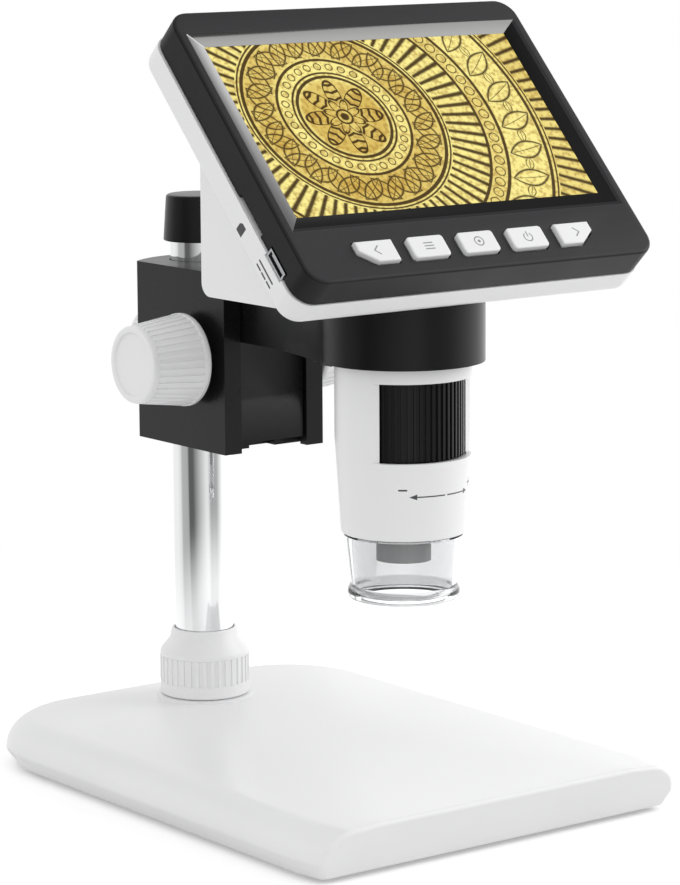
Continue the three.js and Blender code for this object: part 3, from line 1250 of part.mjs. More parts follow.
function rearShell() {
  const outline = (inset) => {
    const x = SHELL_WIDTH / 2 - inset;
    const radius = Math.max(HEAD_CORNER - inset, BASE_MIN_CORNER);
    return roundedOutline(-x, x, -HEAD_BOTTOM + inset, HEAD_TOP - inset, radius);
  };
  const rings = SHELL_EDGE_SHARES.map(([insetShare, depthShare]) => ({
    points: outline(insetShare * SHELL_EDGE),
    z: shellBack + depthShare * SHELL_EDGE,
  }));
  const slab = solid(loft([...rings.reverse(), { points: outline(0), z: shellFront }]));
  const cavity = raise(outlineShape(outline(SHELL_WALL)), shellBack + SHELL_WALL, shellFront + OVERRUN);
  const wedgeRoom = wedge(SHELL_WALL, WEDGE_HALF_WIDTH - SHELL_WALL);
  const walls = cut(join(slab, wedge(0, WEDGE_HALF_WIDTH)), cavity, wedgeRoom);
  const [cellY, cellZ] = cellCentre();
  const cradleBack = barrelY + WEDGE_BACK - SHELL_WALL / 2;
  const cradlePoints = [
    [cellY - CELL_RADIUS, seat + SHELL_WALL / 2],
    [cradleBack, seat + SHELL_WALL / 2],
    [cradleBack, cellZ],
    [cellY - CELL_RADIUS, cellZ],
  ];
  const cradles = [-1, 1].map((s) => {
    const geometry = drawnAlongX(cradlePoints, CRADLE_THICKNESS / 2).translate(s * CRADLE_X, 0, 0);
    return solid(geometry.applyMatrix4(headFrame().invert()));
  });
  const seatRadius = CELL_RADIUS + GAP;
  const seatGeometry = new THREE.CylinderGeometry(seatRadius, seatRadius, CELL_LENGTH, ROUND);
  seatGeometry.rotateZ(Math.PI / 2).translate(0, cellY, cellZ).applyMatrix4(headFrame().invert());
  const shaped = cradles.map((cradle) => cut(cradle, solid(seatGeometry)));
  const postX = MAIN_BOARD_WIDTH / 2 - POST_INSET;
  const postFoot = shellBack + SHELL_WALL / 2;
  const postTop = mainBoardFace - BOARD_THICKNESS - GAP;
  const posts = [-1, 1].map((s) =>
    peg(POST_RADIUS, postFoot, postTop, s * postX, MAIN_BOARD_TOP - POST_INSET));
  const bosses = [-1, 1].map((s) =>
    peg(SCREW_BOSS_RADIUS, postFoot, shellFront, s * SHELL_SCREW_X, SHELL_SCREW_Y));
  const headPocket = shellBack + SHELL_SCREW_HEAD_HEIGHT + 2 * GAP;
  const screwHoles = [-1, 1].map((s) => {
    const place = [s * SHELL_SCREW_X, SHELL_SCREW_Y];
    const start = shellBack - OVERRUN;
    return join(
      peg(SHELL_SCREW_RADIUS + GAP, start, shellFront + OVERRUN, ...place),
      peg(SHELL_SCREW_HEAD_RADIUS + GAP, start, headPocket, ...place),
    );
  });
  const floorTop = seat + SHELL_WALL + GAP;
  const barrelHole = uprightPeg(BARREL_BORE_RADIUS, seat - OVERRUN, floorTop, barrelY, ROUND);
  return cut(join(walls, ...shaped, ...posts, ...bosses), barrelHole, ...screwHoles, ...sideCuts());
}

function addHead(head) {
  head.add(piece("front_bezel", frontBezel(), blackShell));
  head.add(piece("rear_shell", rearShell(), whiteShell));
  const glassX = PICTURE_WIDTH / 2 + GLASS_MARGIN;
  const glassY = PICTURE_HEIGHT / 2 + GLASS_MARGIN;
  const glass = block([-glassX, glassX], [-glassY, glassY], [-GLASS_THICKNESS, 0]);
  head.add(piece("screen_glass", glass, coverGlass));
  const panelHalf = PANEL_WIDTH / 2;
  const panel = block(
    [-panelHalf, panelHalf],
    [-PANEL_BOTTOM, PANEL_TOP],
    [panelFront - PANEL_THICKNESS, panelFront],
  );
  head.add(piece("lcd_panel", panel, steel));
  const boardHalf = MAIN_BOARD_WIDTH / 2;
  const board = block(
    [-boardHalf, boardHalf],
    [-MAIN_BOARD_BOTTOM, MAIN_BOARD_TOP],
    [mainBoardFace - BOARD_THICKNESS, mainBoardFace],
  );
  head.add(piece("main_board", board, circuitGreen));
  head.add(piece("button_board", buttonBoard(), circuitGreen));
  head.add(piece("power_socket", powerSocket(), steel));
  head.add(piece("card_socket", cardSocket(), steel));
  for (const [side, s] of [["left", -1], ["right", 1]]) {
    const bottom = shellBack + GAP;
    const shape = screw(
      SHELL_SCREW_RADIUS,
      SHELL_SCREW_HEAD_RADIUS,
      bottom,
      SHELL_SCREW_HEAD_HEIGHT,
      bottom + SHELL_SCREW_LENGTH,
    );
    const fastener = piece(`shell_screw_${side}`, shape, steel);
    fastener.position.set(s * SHELL_SCREW_X, SHELL_SCREW_Y, 0);
    head.add(fastener);
  }
  buttonNames().forEach((name, i) => head.add(piece(`button_${name}`, button(i), whiteShell)));
}

function addBarrel(barrel) {
  barrel.add(piece("barrel_tube", barrelTube(), whiteShell));
  barrel.add(piece("barrel_sleeve", barrelSleeve(), blackShell));
  barrel.add(piece("focus_wheel", focusWheel(), blackShell));
  barrel.add(piece("lens_carrier", lensCarrier(), steel));
  barrel.add(piece("objective_lens", objectiveLens(), clearPlastic));
  barrel.add(piece("sensor_board", sensorBoard(), circuitGreen));
  barrel.add(piece("led_board", ledBoard(), circuitGreen));
  barrel.add(piece("nose_cap", noseCap(), clearPlastic));
}

function microscope() {
  const model = new THREE.Group();
  const stand = new THREE.Group();
  addBase(stand);
  addPole(stand);
  model.add(stand);

  const nut = piece("collar_nut", collarNut(), whiteShell);
  nut.position.y = poleY;
  model.add(nut);

  const bushBottom = CARRIAGE_BOTTOM + BUSH_LIP + GAP;
  const bush = tube(bushRadius, POLE_RADIUS + GAP, bushBottom, carriageTop - BUSH_LIP - GAP);
  const poleBush = piece("pole_bush", bush, nylon);
  poleBush.position.y = poleY;
  model.add(poleBush);

  const carriage = new THREE.Group();
  addCarriage(carriage);
  addLock(carriage);
  addDrive(carriage);
  model.add(carriage);

  const slide = new THREE.Group();
  slide.add(piece("focus_arm", focusArm(), blackShell));
  slide.add(piece("focus_rack", focusRack(), brass));
  model.add(slide);

  const barrel = new THREE.Group();
  barrel.position.y = barrelY;
  barrel.add(piece("holder_liner", holderLiner(), blackShell));
  addBarrel(barrel);
  model.add(barrel);

  const head = new THREE.Group();
  head.position.set(0, headY, headZ);
  head.rotation.x = tilt;
  addHead(head);
  model.add(head);

  const [cellY, cellZ] = cellCentre();
  const cell = pegX(CELL_RADIUS, -CELL_LENGTH / 2, CELL_LENGTH / 2, cellY, cellZ);
  model.add(piece("battery_cell", cell, cellBlue));
  return model;
}

export default microscope();
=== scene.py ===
import json
import math
import bpy
from mathutils import Matrix, Vector


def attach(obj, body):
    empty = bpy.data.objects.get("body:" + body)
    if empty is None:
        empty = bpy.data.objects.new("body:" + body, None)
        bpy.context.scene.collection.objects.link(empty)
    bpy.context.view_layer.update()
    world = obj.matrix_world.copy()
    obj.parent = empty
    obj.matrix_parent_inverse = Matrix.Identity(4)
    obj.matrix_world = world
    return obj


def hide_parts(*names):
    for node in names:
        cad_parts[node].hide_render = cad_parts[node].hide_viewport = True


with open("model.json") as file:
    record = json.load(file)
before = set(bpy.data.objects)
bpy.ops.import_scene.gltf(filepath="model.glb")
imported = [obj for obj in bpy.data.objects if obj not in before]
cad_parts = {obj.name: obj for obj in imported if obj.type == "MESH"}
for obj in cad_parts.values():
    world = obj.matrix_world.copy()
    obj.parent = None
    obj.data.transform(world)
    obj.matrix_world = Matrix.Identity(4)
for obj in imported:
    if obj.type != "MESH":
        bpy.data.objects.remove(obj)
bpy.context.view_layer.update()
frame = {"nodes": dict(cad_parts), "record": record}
nodes = frame["nodes"]
mm = 0.001
scene = bpy.context.scene
scene.view_settings.view_transform = "Standard"

# Camera. A long lens looks a little down on the instrument's left front corner, as in the photograph.
# There is no lens shift and no depth of field.
turned_left, tipped_down, rolled = math.radians(36.99), math.radians(9.61), math.radians(-0.35)
lens_px, frame_px = 3517.85, 885
toward = Vector((
    -math.sin(turned_left) * math.cos(tipped_down),
    -math.cos(turned_left) * math.cos(tipped_down),
    math.sin(tipped_down),
))
right = (-toward).cross(Vector((0, 0, 1))).normalized()
up = right.cross(-toward)
right, up = (
    math.cos(rolled) * right + math.sin(rolled) * up,
    math.cos(rolled) * up - math.sin(rolled) * right,
)
camera_data = bpy.data.cameras.new("camera")
camera = bpy.data.objects.new("camera", camera_data)
scene.collection.objects.link(camera)
camera.matrix_world = Matrix((
    (right.x, up.x, toward.x, -543.51 * mm),
    (right.y, up.y, toward.y, -734.65 * mm),
    (right.z, up.z, toward.z, 246.91 * mm),
    (0, 0, 0, 1),
))
camera_data.lens = camera_data.sensor_width * lens_px / frame_px
camera_data.clip_end = 100
scene.camera = camera

# Floor. A white studio sweep: it takes the soft shadow round the base and runs out to plain white. It gives
# back dark and light parts of a studio only to mirrors and clear pieces.


class Socket:
    """An output of a material's nodes. Sums and comparisons on it add Math nodes."""

    def __init__(self, tree, output):
        self.tree = tree
        self.output = output

    def node(self, kind, settings=None, inputs=None, out=0):
        """Adds any other node: its settings first, then the values or links of its sockets."""
        made = self.tree.nodes.new(kind)
        for name, value in (settings or {}).items():
            if name != "stops":
                setattr(made, name, value)
                continue
            points = made.color_ramp.elements
            while len(points) < len(value):
                points.new(0.5)
            for point, (place, color) in zip(points, value):
                point.position = place
                point.color = (*color, 1)
        for key, value in (inputs or {}).items():
            if isinstance(value, Socket):
                self.tree.links.new(value.output, made.inputs[key])
            else:
                made.inputs[key].default_value = value
        return Socket(self.tree, made.outputs[out])

    def math(self, operation, *others):
        return self.node("ShaderNodeMath", {"operation": operation}, dict(enumerate((self, *others))))

    def __add__(self, other):
        return self.math("ADD", other)

    def __sub__(self, other):
        return self.math("SUBTRACT", other)

    def __rsub__(self, other):
        return -self + other

    def __neg__(self):
        return self.math("MULTIPLY", -1)

    def __mul__(self, other):
        return self.math("MULTIPLY", other)

    def __truediv__(self, other):
        return self.math("DIVIDE", other)

    def __abs__(self):
        return self.math("ABSOLUTE")

    def __lt__(self, other):
        return self.math("LESS_THAN", other)

    def __gt__(self, other):
        return self.math("GREATER_THAN", other)

    __radd__, __rmul__ = __add__, __mul__

    def clamped(self):
        return self.node("ShaderNodeClamp", {}, {"Value": self})

    def below(self, limit, blur):
        """1 where the value is below the limit, 0 above it, with a soft step."""
        inputs = {"Value": self, "From Min": limit - blur, "From Max": limit + blur, "To Min": 1, "To Max": 0}
        return self.node("ShaderNodeMapRange", {"interpolation_type": "SMOOTHSTEP"}, inputs)

    def blend(self, first, second):
        """The first colour where the value is 0 and the second where it is 1."""
        inputs = {0: self, 6: first, 7: second}
        return self.node("ShaderNodeMix", {"data_type": "RGBA"}, inputs, out=2)


def new_finish(name, **values):
    """A material with plain values on its shader, and its place on the piece in mm as a socket."""
    material = bpy.data.materials.new(name)
    material.use_nodes = True
    tree = material.node_tree
    shader = tree.nodes["Principled BSDF"]
    for key, value in values.items():
        shader.inputs[key.replace("_", " ")].default_value = value
    start = Socket(tree, None)
    place = start.node("ShaderNodeTexCoord", out=3)
    place = start.node("ShaderNodeVectorMath", {"operation": "SCALE"}, {0: place, "Scale": 1 / mm})
    return material, shader, place


def feed(shader, name, value):
    value.tree.links.new(value.output, shader.inputs[name])


def surroundings(direction, front):
    """How bright the studio looks in a mirror, by the direction seen. A dark screen stands on the left in
    front, the studio grows lighter from there to the right, and its ceiling is dark."""
    split = direction.node("ShaderNodeSeparateXYZ", {}, {0: direction}).output.node
    x, y, z = (Socket(direction.tree, output) for output in split.outputs)
    cos, sin = math.cos(front), math.sin(front)
    round_by = (x * cos - y * sin).math("ARCTAN2", -x * sin - y * cos)
    stops = [
        (-180, 0.95), (-116, 0.95), (-98, 0.8), (-90, 0.5), (-65, 0.45), (-58, 0.12), (-42, 0.12), (-14, 0.5),
        (14, 0.86), (22, 0.84), (34, 0.4), (62, 0.45), (84, 1), (104, 1.4), (180, 1.4),
    ]
    stops = [((angle + 180) / 360, (value, value, value)) for angle, value in stops]
    level = direction.node("ShaderNodeValToRGB", {"stops": stops}, {0: round_by / (2 * math.pi) + 0.5})
    return level * (0.2 + 0.8 * z.below(0.62, 0.16))


def studio_level(direction, front, ambient):
    """White for the camera, the studio's own levels in mirrors and clear pieces, plain on dull surfaces."""
    light_path = direction.node("ShaderNodeLightPath").output.node
    by_camera, by_mirror, by_glass, bounces = (
        Socket(direction.tree, light_path.outputs[name])
        for name in ("Is Camera Ray", "Is Glossy Ray", "Is Transmission Ray", "Diffuse Depth")
    )
    mirrored = surroundings(direction, front)
    clear = 0.3 + 0.7 * mirrored.clamped()
    dull = bounces > 0.5
    return dull * ambient + (1 - dull) * (by_camera + by_mirror * mirrored + by_glass * clear)


bpy.ops.object.select_all(action="DESELECT")
bpy.ops.mesh.primitive_circle_add(vertices=64, radius=30, fill_type="NGON", location=(0, 0, 0))
floor = bpy.context.object
floor.name = "floor"
floor_paint, floor_shader, floor_place = new_finish("studio floor", Roughness=1, Specular_IOR_Level=0)
floor_level, shaded_reach, shaded_share = 0.8, 250, 0.65
floor_shader.inputs["Base Color"].default_value = (floor_level, floor_level, floor_level, 1)
tree = floor_paint.node_tree
distance = floor_place.node("ShaderNodeVectorMath", {"operation": "LENGTH"}, {0: floor_place}, out=1)
near = distance.below(shaded_reach, 90)
own_light = studio_level(floor_place, turned_left, floor_level * (1 - near)) * (1 - shaded_share * near)
glow = floor_place.node("ShaderNodeEmission", {}, {"Color": (1, 1, 1, 1), "Strength": own_light})
lit = Socket(tree, floor_shader.outputs[0])
both = floor_place.node("ShaderNodeAddShader", {}, {0: lit, 1: glow})
whole = floor_place.node("ShaderNodeMixShader", {}, {0: 1 - near, 1: both, 2: glow})
tree.links.new(whole.output, tree.nodes["Material Output"].inputs["Surface"])
floor.data.materials.append(floor_paint)

# Light. White surroundings with one large soft lamp on the right and a weaker one on the left.
world = bpy.data.worlds.new("studio")
scene.world = world
world.use_nodes = True
tree = world.node_tree
sky = Socket(tree, None)
sky_level = 0.9
strength = studio_level(sky.node("ShaderNodeTexCoord", out=0), turned_left, sky_level)
backdrop = tree.nodes["Background"]
backdrop.inputs["Color"].default_value = (1, 1, 1, 1)
tree.links.new(strength.output, backdrop.inputs["Strength"])
for name, place, aim, size, power in (
    ("lamp_right", (1.2, -0.66, 0.8), (0, 0, 0.1), 1.2, 8),
    ("lamp_left", (-1.3, -0.2, 0.8), (0, 0, 0.1), 1.4, 1.2),
):
    lamp_data = bpy.data.lights.new(name, "AREA")
    lamp_data.energy = power
    lamp_data.size = size
    lamp = bpy.data.objects.new(name, lamp_data)
    scene.collection.objects.link(lamp)
    lamp.location = place
    lamp.rotation_euler = (Vector(aim) - Vector(place)).to_track_quat("-Z", "Y").to_euler()

# Base. One white moulding like a flat pillow: an undercut rim, a broad rounded shoulder, a slightly
# crowned top and a flat front face that leans back. A threaded spigot stands up round the pole.


def noise(place, scale, detail=3):
    return place.node("ShaderNodeTexNoise", {}, {"Vector": place, "Scale": scale, "Detail": detail})


def bumps(height, strength, depth):
    return height.node("ShaderNodeBump", {}, {"Strength": strength, "Distance": depth * mm, "Height": height})


white_paint, white_shader, white_place = new_finish(
    "white moulded plastic", Base_Color=(0.84, 0.84, 0.845, 1), Roughness=0.32, Specular_IOR_Level=0.45,
)
grain = noise(white_place, 2.6, 2)
cloud = noise(white_place, 0.045)
feed(white_shader, "Roughness", 0.24 + 0.16 * cloud)
feed(white_shader, "Base Color", cloud.blend((0.82, 0.82, 0.825, 1), (0.86, 0.86, 0.865, 1)))
feed(white_shader, "Normal", bumps(grain, 0.06, 0.02))


def open_edit(select="DESELECT"):
    bpy.ops.object.mode_set(mode="EDIT")
    bpy.ops.mesh.select_mode(type="VERT")
    bpy.ops.mesh.select_all(action=select)


def close_edit():
    bpy.ops.object.mode_set(mode="OBJECT")


def pick(piece, kind, wanted):
    """Selects the vertices, edges or faces whose places the test accepts, in edit mode."""
    bpy.ops.mesh.select_mode(type=kind)
    bpy.ops.mesh.select_all(action="DESELECT")
    bpy.ops.object.mode_set(mode="OBJECT")
    mesh = piece.data
    points = [vertex.co / mm for vertex in mesh.vertices]
    if kind == "VERT":
        for vertex in mesh.vertices:
            vertex.select = wanted(points[vertex.index])
    if kind == "EDGE":
        for edge in mesh.edges:
            edge.select = wanted(*(points[i] for i in edge.vertices))
    if kind == "FACE":
        for face in mesh.polygons:
            face.select = wanted(face.center / mm, face.normal)
    bpy.ops.object.mode_set(mode="EDIT")


def carve(piece, tool, operation="DIFFERENCE"):
    modifier = piece.modifiers.new("carve", "BOOLEAN")
    modifier.operation = operation
    modifier.solver = "EXACT"
    modifier.object = tool
    bpy.context.view_layer.objects.active = piece
    bpy.ops.object.modifier_apply(modifier=modifier.name)
    bpy.data.objects.remove(tool)


def soften(piece, width, segments=3, angle=35):
    """Rounds every sharp edge a little, and shades the rest smooth."""
    bpy.ops.object.select_all(action="DESELECT")
    piece.select_set(True)
    bpy.context.view_layer.objects.active = piece
    open_edit("SELECT")
    bpy.ops.mesh.remove_doubles(threshold=0.02 * mm)
    bpy.ops.mesh.dissolve_degenerate(threshold=0.01 * mm)
    close_edit()
    if width:
        modifier = piece.modifiers.new("soft edges", "BEVEL")
        modifier.width = width * mm
        modifier.segments = segments
        modifier.angle_limit = math.radians(angle)
        bpy.ops.object.modifier_apply(modifier=modifier.name)
    bpy.ops.object.shade_smooth_by_angle(angle=math.radians(angle))
    weighted = piece.modifiers.new("flat faces stay flat", "WEIGHTED_NORMAL")
    weighted.keep_sharp = True
    bpy.ops.object.modifier_apply(modifier=weighted.name)


def dress(piece, body, slot, paint, *stands_for):
    if piece.data.materials:
        piece.data.materials[0] = paint
    else:
        piece.data.materials.append(paint)
    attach(piece, body)
    if stands_for:
        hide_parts(*stands_for)


def turn(name, profile, centre, steps=96):
    """Draws a closed profile of (radius, height) point by point and spins it about the upright axis."""
    bpy.ops.object.select_all(action="DESELECT")
    bpy.ops.mesh.primitive_plane_add(size=mm, location=(0, 0, 0))
    piece = bpy.context.object
    piece.name = name
    open_edit("SELECT")
    bpy.ops.mesh.merge(type="CENTER")
    here = Vector((0, 0, 0))
    closed = profile if profile[0][0] == 0 else [*profile, profile[0]]
    for number, (radius, height) in enumerate(closed):
        there = Vector((radius, 0, height)) * mm
        if number == 0:
            bpy.ops.transform.translate(value=there - here)
        else:
            bpy.ops.mesh.extrude_region_move(TRANSFORM_OT_translate={"value": there - here})
        here = there
    bpy.ops.mesh.select_all(action="SELECT")
    bpy.ops.mesh.remove_doubles(threshold=0.001 * mm)
    bpy.ops.mesh.select_all(action="SELECT")
    bpy.ops.mesh.spin(steps=steps, angle=2 * math.pi, center=(0, 0, 0), axis=(0, 0, 1))
    bpy.ops.mesh.select_all(action="SELECT")
    bpy.ops.mesh.remove_doubles(threshold=0.001 * mm)
    bpy.ops.mesh.normals_make_consistent(inside=False)
    bpy.ops.transform.translate(value=Vector(centre) * mm)
    close_edit()
    return piece


def block(name, low, high):
    bpy.ops.object.select_all(action="DESELECT")
    low, high = Vector(low) * mm, Vector(high) * mm
    bpy.ops.mesh.primitive_cube_add(size=1, location=(low + high) / 2, scale=high - low)
    piece = bpy.context.object
    piece.name = name
    bpy.ops.object.transform_apply(location=True, rotation=True, scale=True)
    return piece


def settle(piece):
    """Puts the piece's place and turn into its mesh."""
    bpy.ops.object.select_all(action="DESELECT")
    piece.select_set(True)
    bpy.context.view_layer.objects.active = piece
    bpy.ops.object.transform_apply(location=True, rotation=True, scale=True)


def new_outline(name, points, low, high):
    """Draws a closed outline seen from above, point by point, fills it and raises it from low to high."""
    bpy.ops.object.select_all(action="DESELECT")
    bpy.ops.mesh.primitive_plane_add(size=mm, location=(0, 0, 0))
    piece = bpy.context.object
    piece.name = name
    open_edit("SELECT")
    bpy.ops.mesh.merge(type="CENTER")
    here = Vector((0, 0, 0))
    for number, (x, y) in enumerate([*points, points[0]]):
        there = Vector((x, y, low)) * mm
        if number == 0:
            bpy.ops.transform.translate(value=there - here)
        else:
            bpy.ops.mesh.extrude_region_move(TRANSFORM_OT_translate={"value": there - here})
        here = there
    bpy.ops.mesh.select_all(action="SELECT")
    bpy.ops.mesh.remove_doubles(threshold=0.001 * mm)
    bpy.ops.mesh.select_all(action="SELECT")
    bpy.ops.mesh.edge_face_add()
    bpy.ops.mesh.extrude_region_move(TRANSFORM_OT_translate={"value": (0, 0, (high - low) * mm)})
    bpy.ops.mesh.select_all(action="SELECT")
    bpy.ops.mesh.normals_make_consistent(inside=False)
    close_edit()
    return piece


def rounded(x0, x1, y0, y1, radius, steps=8):
    """Points of a rectangle with round corners."""
    points = []
    for x, y, start in ((x1, y1, 0), (x0, y1, 90), (x0, y0, 180), (x1, y0, 270)):
        for step in range(steps + 1):
            angle = math.radians(start + 90 * step / steps)
            across, along = (radius if x == x0 else -radius), (radius if y == y0 else -radius)
            points.append((x + across + radius * math.cos(angle), y + along + radius * math.sin(angle)))
    return points


pole_y = 49.9
half_width, front_y, back_y, back_corner = 58.8, -81.5, 81.5, 30
bottom_z, rim_z, edge_z, shoulder, undercut = 1.5, 5.1, 13.6, 9.7, 2.2
lean_z, front_cut = 10.5, 20
taper = 0.17
outline = rounded(-half_width, half_width, front_y, back_y, back_corner, 12)[:26]
outline += [
    (-half_width, front_y + 10), (-half_width + 30 * taper, front_y - front_cut),
    (half_width - 30 * taper, front_y - front_cut), (half_width, front_y + 10),
]
base = new_outline("base_moulding", outline, bottom_z, rim_z)
open_edit()
pick(base, "VERT", lambda point: point.z < bottom_z + 0.1)
half_depth = (back_y - front_y + front_cut) / 2
bpy.ops.transform.resize(value=(1 - undercut / half_width, 1 - undercut / half_depth, 1))
pick(base, "FACE", lambda centre, normal: normal.z > 0.9)
steps = 12
for step in range(steps):
    low, high = math.pi / 2 * (1 - step / steps), math.pi / 2 * (1 - (step + 1) / steps)
    inward = shoulder * (math.sin(low) - math.sin(high))
    rise = (edge_z - rim_z) * (math.cos(high) - math.cos(low))
    bpy.ops.mesh.inset(thickness=inward * mm, depth=rise * mm)
previous = 1
for share, rise in ((0.92, 0.36), (0.8, 0.45), (0.64, 0.45), (0.44, 0.38), (0.2, 0.22)):
    bpy.ops.mesh.extrude_region_move(TRANSFORM_OT_translate={"value": (0, 0, rise * mm)})
    bpy.ops.transform.resize(value=(share / previous, share / previous, 1))
    previous = share
lean = Vector((0, -9, -2.9)).normalized()
bpy.ops.mesh.select_all(action="SELECT")
on_face = Vector((0, front_y, lean_z))
bpy.ops.mesh.bisect(
    plane_co=(0, front_y * mm, lean_z * mm), plane_no=lean, use_fill=True, clear_outer=True, clear_inner=False
)
pick(base, "EDGE", lambda a, b: (
    max(abs((end - on_face).dot(lean)) for end in (a, b)) < 0.01 and max(a.z, b.z) > bottom_z + 0.1
))
bpy.ops.mesh.bevel(offset=1.4 * mm, segments=4)
close_edit()
cavity_front = front_y + 5.3
carve(base, new_outline(
    "base_cavity",
    [(x, max(y, cavity_front)) for x, y in rounded(-54.2, 54.2, front_y - front_cut + 4.6, 76.9, 25.4, 12)],
    0, lean_z,
))
spigot_profile = [(7, 12), (13.3, 12), (13.3, 15.6), (10, 15.6), (10, 26), (7, 26)]
carve(base, turn("spigot", spigot_profile, (0, pole_y, 0)), "UNION")
carve(base, turn("spigot_bore", [(0, 7.6), (8.3, 7.6), (8.3, 30), (0, 30)], (0, pole_y, 0)))
soften(base, 0, angle=40)
dress(base, "stand", "white_shell", white_paint, "base_shell")


def copy_of(piece, name, move):
    twin = piece.copy()
    twin.data = piece.data.copy()
    twin.name = name
    scene.collection.objects.link(twin)
    twin.location = Vector(move) * mm
    settle(twin)
    return twin


# Feet. Four rubber pads in the underside, and the screws beside them that hold the black cover plate and
# the steel ballast.
rubber_paint, rubber_shader, rubber_place = new_finish("black rubber", Base_Color=(0.02, 0.02, 0.02, 1))
speckle = noise(rubber_place, 3)
feed(rubber_shader, "Roughness", 0.7 + 0.2 * speckle)
foot = turn("foot", [(0, 0.1), (4.9, 0), (5.3, 0.15), (5.5, 0.5), (5.5, 1.5), (0, 1.5)], (0, 0, 0), 48)
soften(foot, 0)
foot_x, foot_y = 41.8, 64.5
for end, y in (("front", -foot_y), ("back", foot_y)):
    for side, x in (("left", -foot_x), ("right", foot_x)):
        pad = copy_of(foot, f"foot_{end}_{side}_pad", (x, y, 0))
        dress(pad, "stand", "rubber", rubber_paint, f"foot_{end}_{side}")
bpy.data.objects.remove(foot)

# Pole. A mirror-bright chromed steel tube that stands in the base, and its black plastic end cap.
chrome_paint, chrome_shader, chrome_place = new_finish(
    "chrome plate", Base_Color=(0.88, 0.885, 0.89, 1), Metallic=1, Roughness=0.05,
)
smear = noise(chrome_place, 0.12, 4)
feed(chrome_shader, "Roughness", 0.02 + 0.07 * smear)
pole_profile = [(6.8, 8.1), (7.8, 8.1), (8, 8.3), (8, 152.5), (7.8, 152.7), (6.8, 152.7)]
pole = turn("pole", pole_profile, (0, pole_y, 0), 128)
soften(pole, 0)
dress(pole, "stand", "chrome", chrome_paint, "pole_tube")

black_paint, black_shader, black_place = new_finish(
    "black moulded plastic", Base_Color=(0.006, 0.006, 0.0065, 1), Roughness=0.35, Specular_IOR_Level=0.26,
)
fine = noise(black_place, 2.4)
broad = noise(black_place, 0.06)
feed(black_shader, "Roughness", 0.22 + 0.14 * broad)
feed(black_shader, "Normal", bumps(fine, 0.15, 0.03))
cap = turn(
    "pole_end_cap",
    [
        (0, 153), (8.3, 153), (8.3, 141.8), (9.6, 141.8), (9.8, 142),
        (9.02, 153.6), (8.8, 154.05), (8.3, 154.3), (0, 154.3),
    ],
    (0, pole_y, 0),
)
soften(cap, 0)
dress(cap, "stand", "black_shell", black_paint, "pole_cap")

# Collar nut. A ribbed white nut that screws down on the spigot and clamps the pole's foot.


def ribbed_turn(name, profile, centre, count, low, high, depth, width=0.5):
    """Turns a profile with four steps to each rib, then pushes the band from low to high out into ribs."""
    piece = turn(name, profile, (0, 0, 0), 8 * count)
    open_edit()
    widest = max(radius for radius, height in profile)

    def on_rib(middle, normal):
        turned_by = math.atan2(middle.y, middle.x) / (2 * math.pi) * count
        return (
            low < middle.z < high and abs(normal.z) < 0.3 and normal.dot(Vector((middle.x, middle.y, 0))) > 0
            and math.hypot(middle.x, middle.y) > 0.7 * widest and abs(turned_by % 1 - 0.5) < width / 2
        )

    pick(piece, "FACE", on_rib)
    bpy.ops.mesh.extrude_region_shrink_fatten(TRANSFORM_OT_shrink_fatten={"value": depth * mm})
    bpy.ops.mesh.select_all(action="DESELECT")
    close_edit()
    for vertex in piece.data.vertices:
        vertex.co += Vector(centre) * mm
    return piece


nut = ribbed_turn(
    "clamp_nut",
    [
        (10.3, 15.75), (11.9, 15.75), (12.3, 16.1), (12.3, 19.3), (12.05, 19.3), (12.05, 26.6),
        (12.3, 26.6), (12.3, 27.6), (12, 28.3), (9.5, 31.4), (9.1, 33.6), (8.8, 34.2),
        (8.3, 34.2), (8.3, 31.6), (9, 31.6), (10.3, 26.6),
    ],
    (0, pole_y, 0), 36, 19.3, 26.6, 0.35, 0.6,
)
soften(nut, 0.1, 2)
dress(nut, "collar_nut", "white_shell", white_paint, "collar_nut")

# Carriage. A black moulded block that grips the pole, with a bowed back and a T-shaped channel down its
# front for the focus slide.


def lay_down(piece, turned, place):
    """Turns a piece that was spun about the upright axis, and puts it in its place."""
    piece.rotation_euler = turned
    piece.location = [value * mm for value in place]
    settle(piece)


carriage_low, carriage_high = 88.3, 136.5
housing = block("carriage_block", (-16.1, 15.9, carriage_low), (16.1, 66, carriage_high))
bow = turn("bow", [(0, 80), (24.6, 80), (24.6, 140), (0, 140)], (0, 38, 0), 160)
carve(bow, block("bow_front", (-30, 0, 79), (30, 38, 141)), "UNION")
carve(housing, bow, "INTERSECT")
carve(housing, block("channel", (-10.7, 10, 80), (10.7, 19.5, 140)))
carve(housing, block("undercut", (-13.4, 18.9, 80), (13.4, 21.7, 140)))
carve(housing, block("rack_groove", (-4.2, 20, 80), (4.2, 25.3, 140)))
carve(housing, turn("pole_bore", [(0, 80), (8.3, 80), (8.3, 140), (0, 140)], (0, pole_y, 0)))
carve(housing, turn("bush_bore", [(0, 89.2), (9.6, 89.2), (9.6, 135.6), (0, 135.6)], (0, pole_y, 0)))
shaft_y, shaft_z, lock_z = 29.9, 112.8, 112.6
shaft_bore = turn("shaft_bore", [(0, -30), (4.8, -30), (4.8, 30), (0, 30)], (0, 0, 0), 48)
lay_down(shaft_bore, (0, math.pi / 2, 0), (0, shaft_y, shaft_z))
carve(housing, shaft_bore)
lock_bore = turn("lock_bore", [(0, 0), (2.3, 0), (2.3, 12), (0, 12)], (0, 0, 0), 32)
lay_down(lock_bore, (-math.pi / 2, 0, 0), (0, 57.9, lock_z))
carve(housing, lock_bore)
soften(housing, 0.4, 3)
dress(housing, "carriage", "black_shell", black_paint, "carriage_housing")

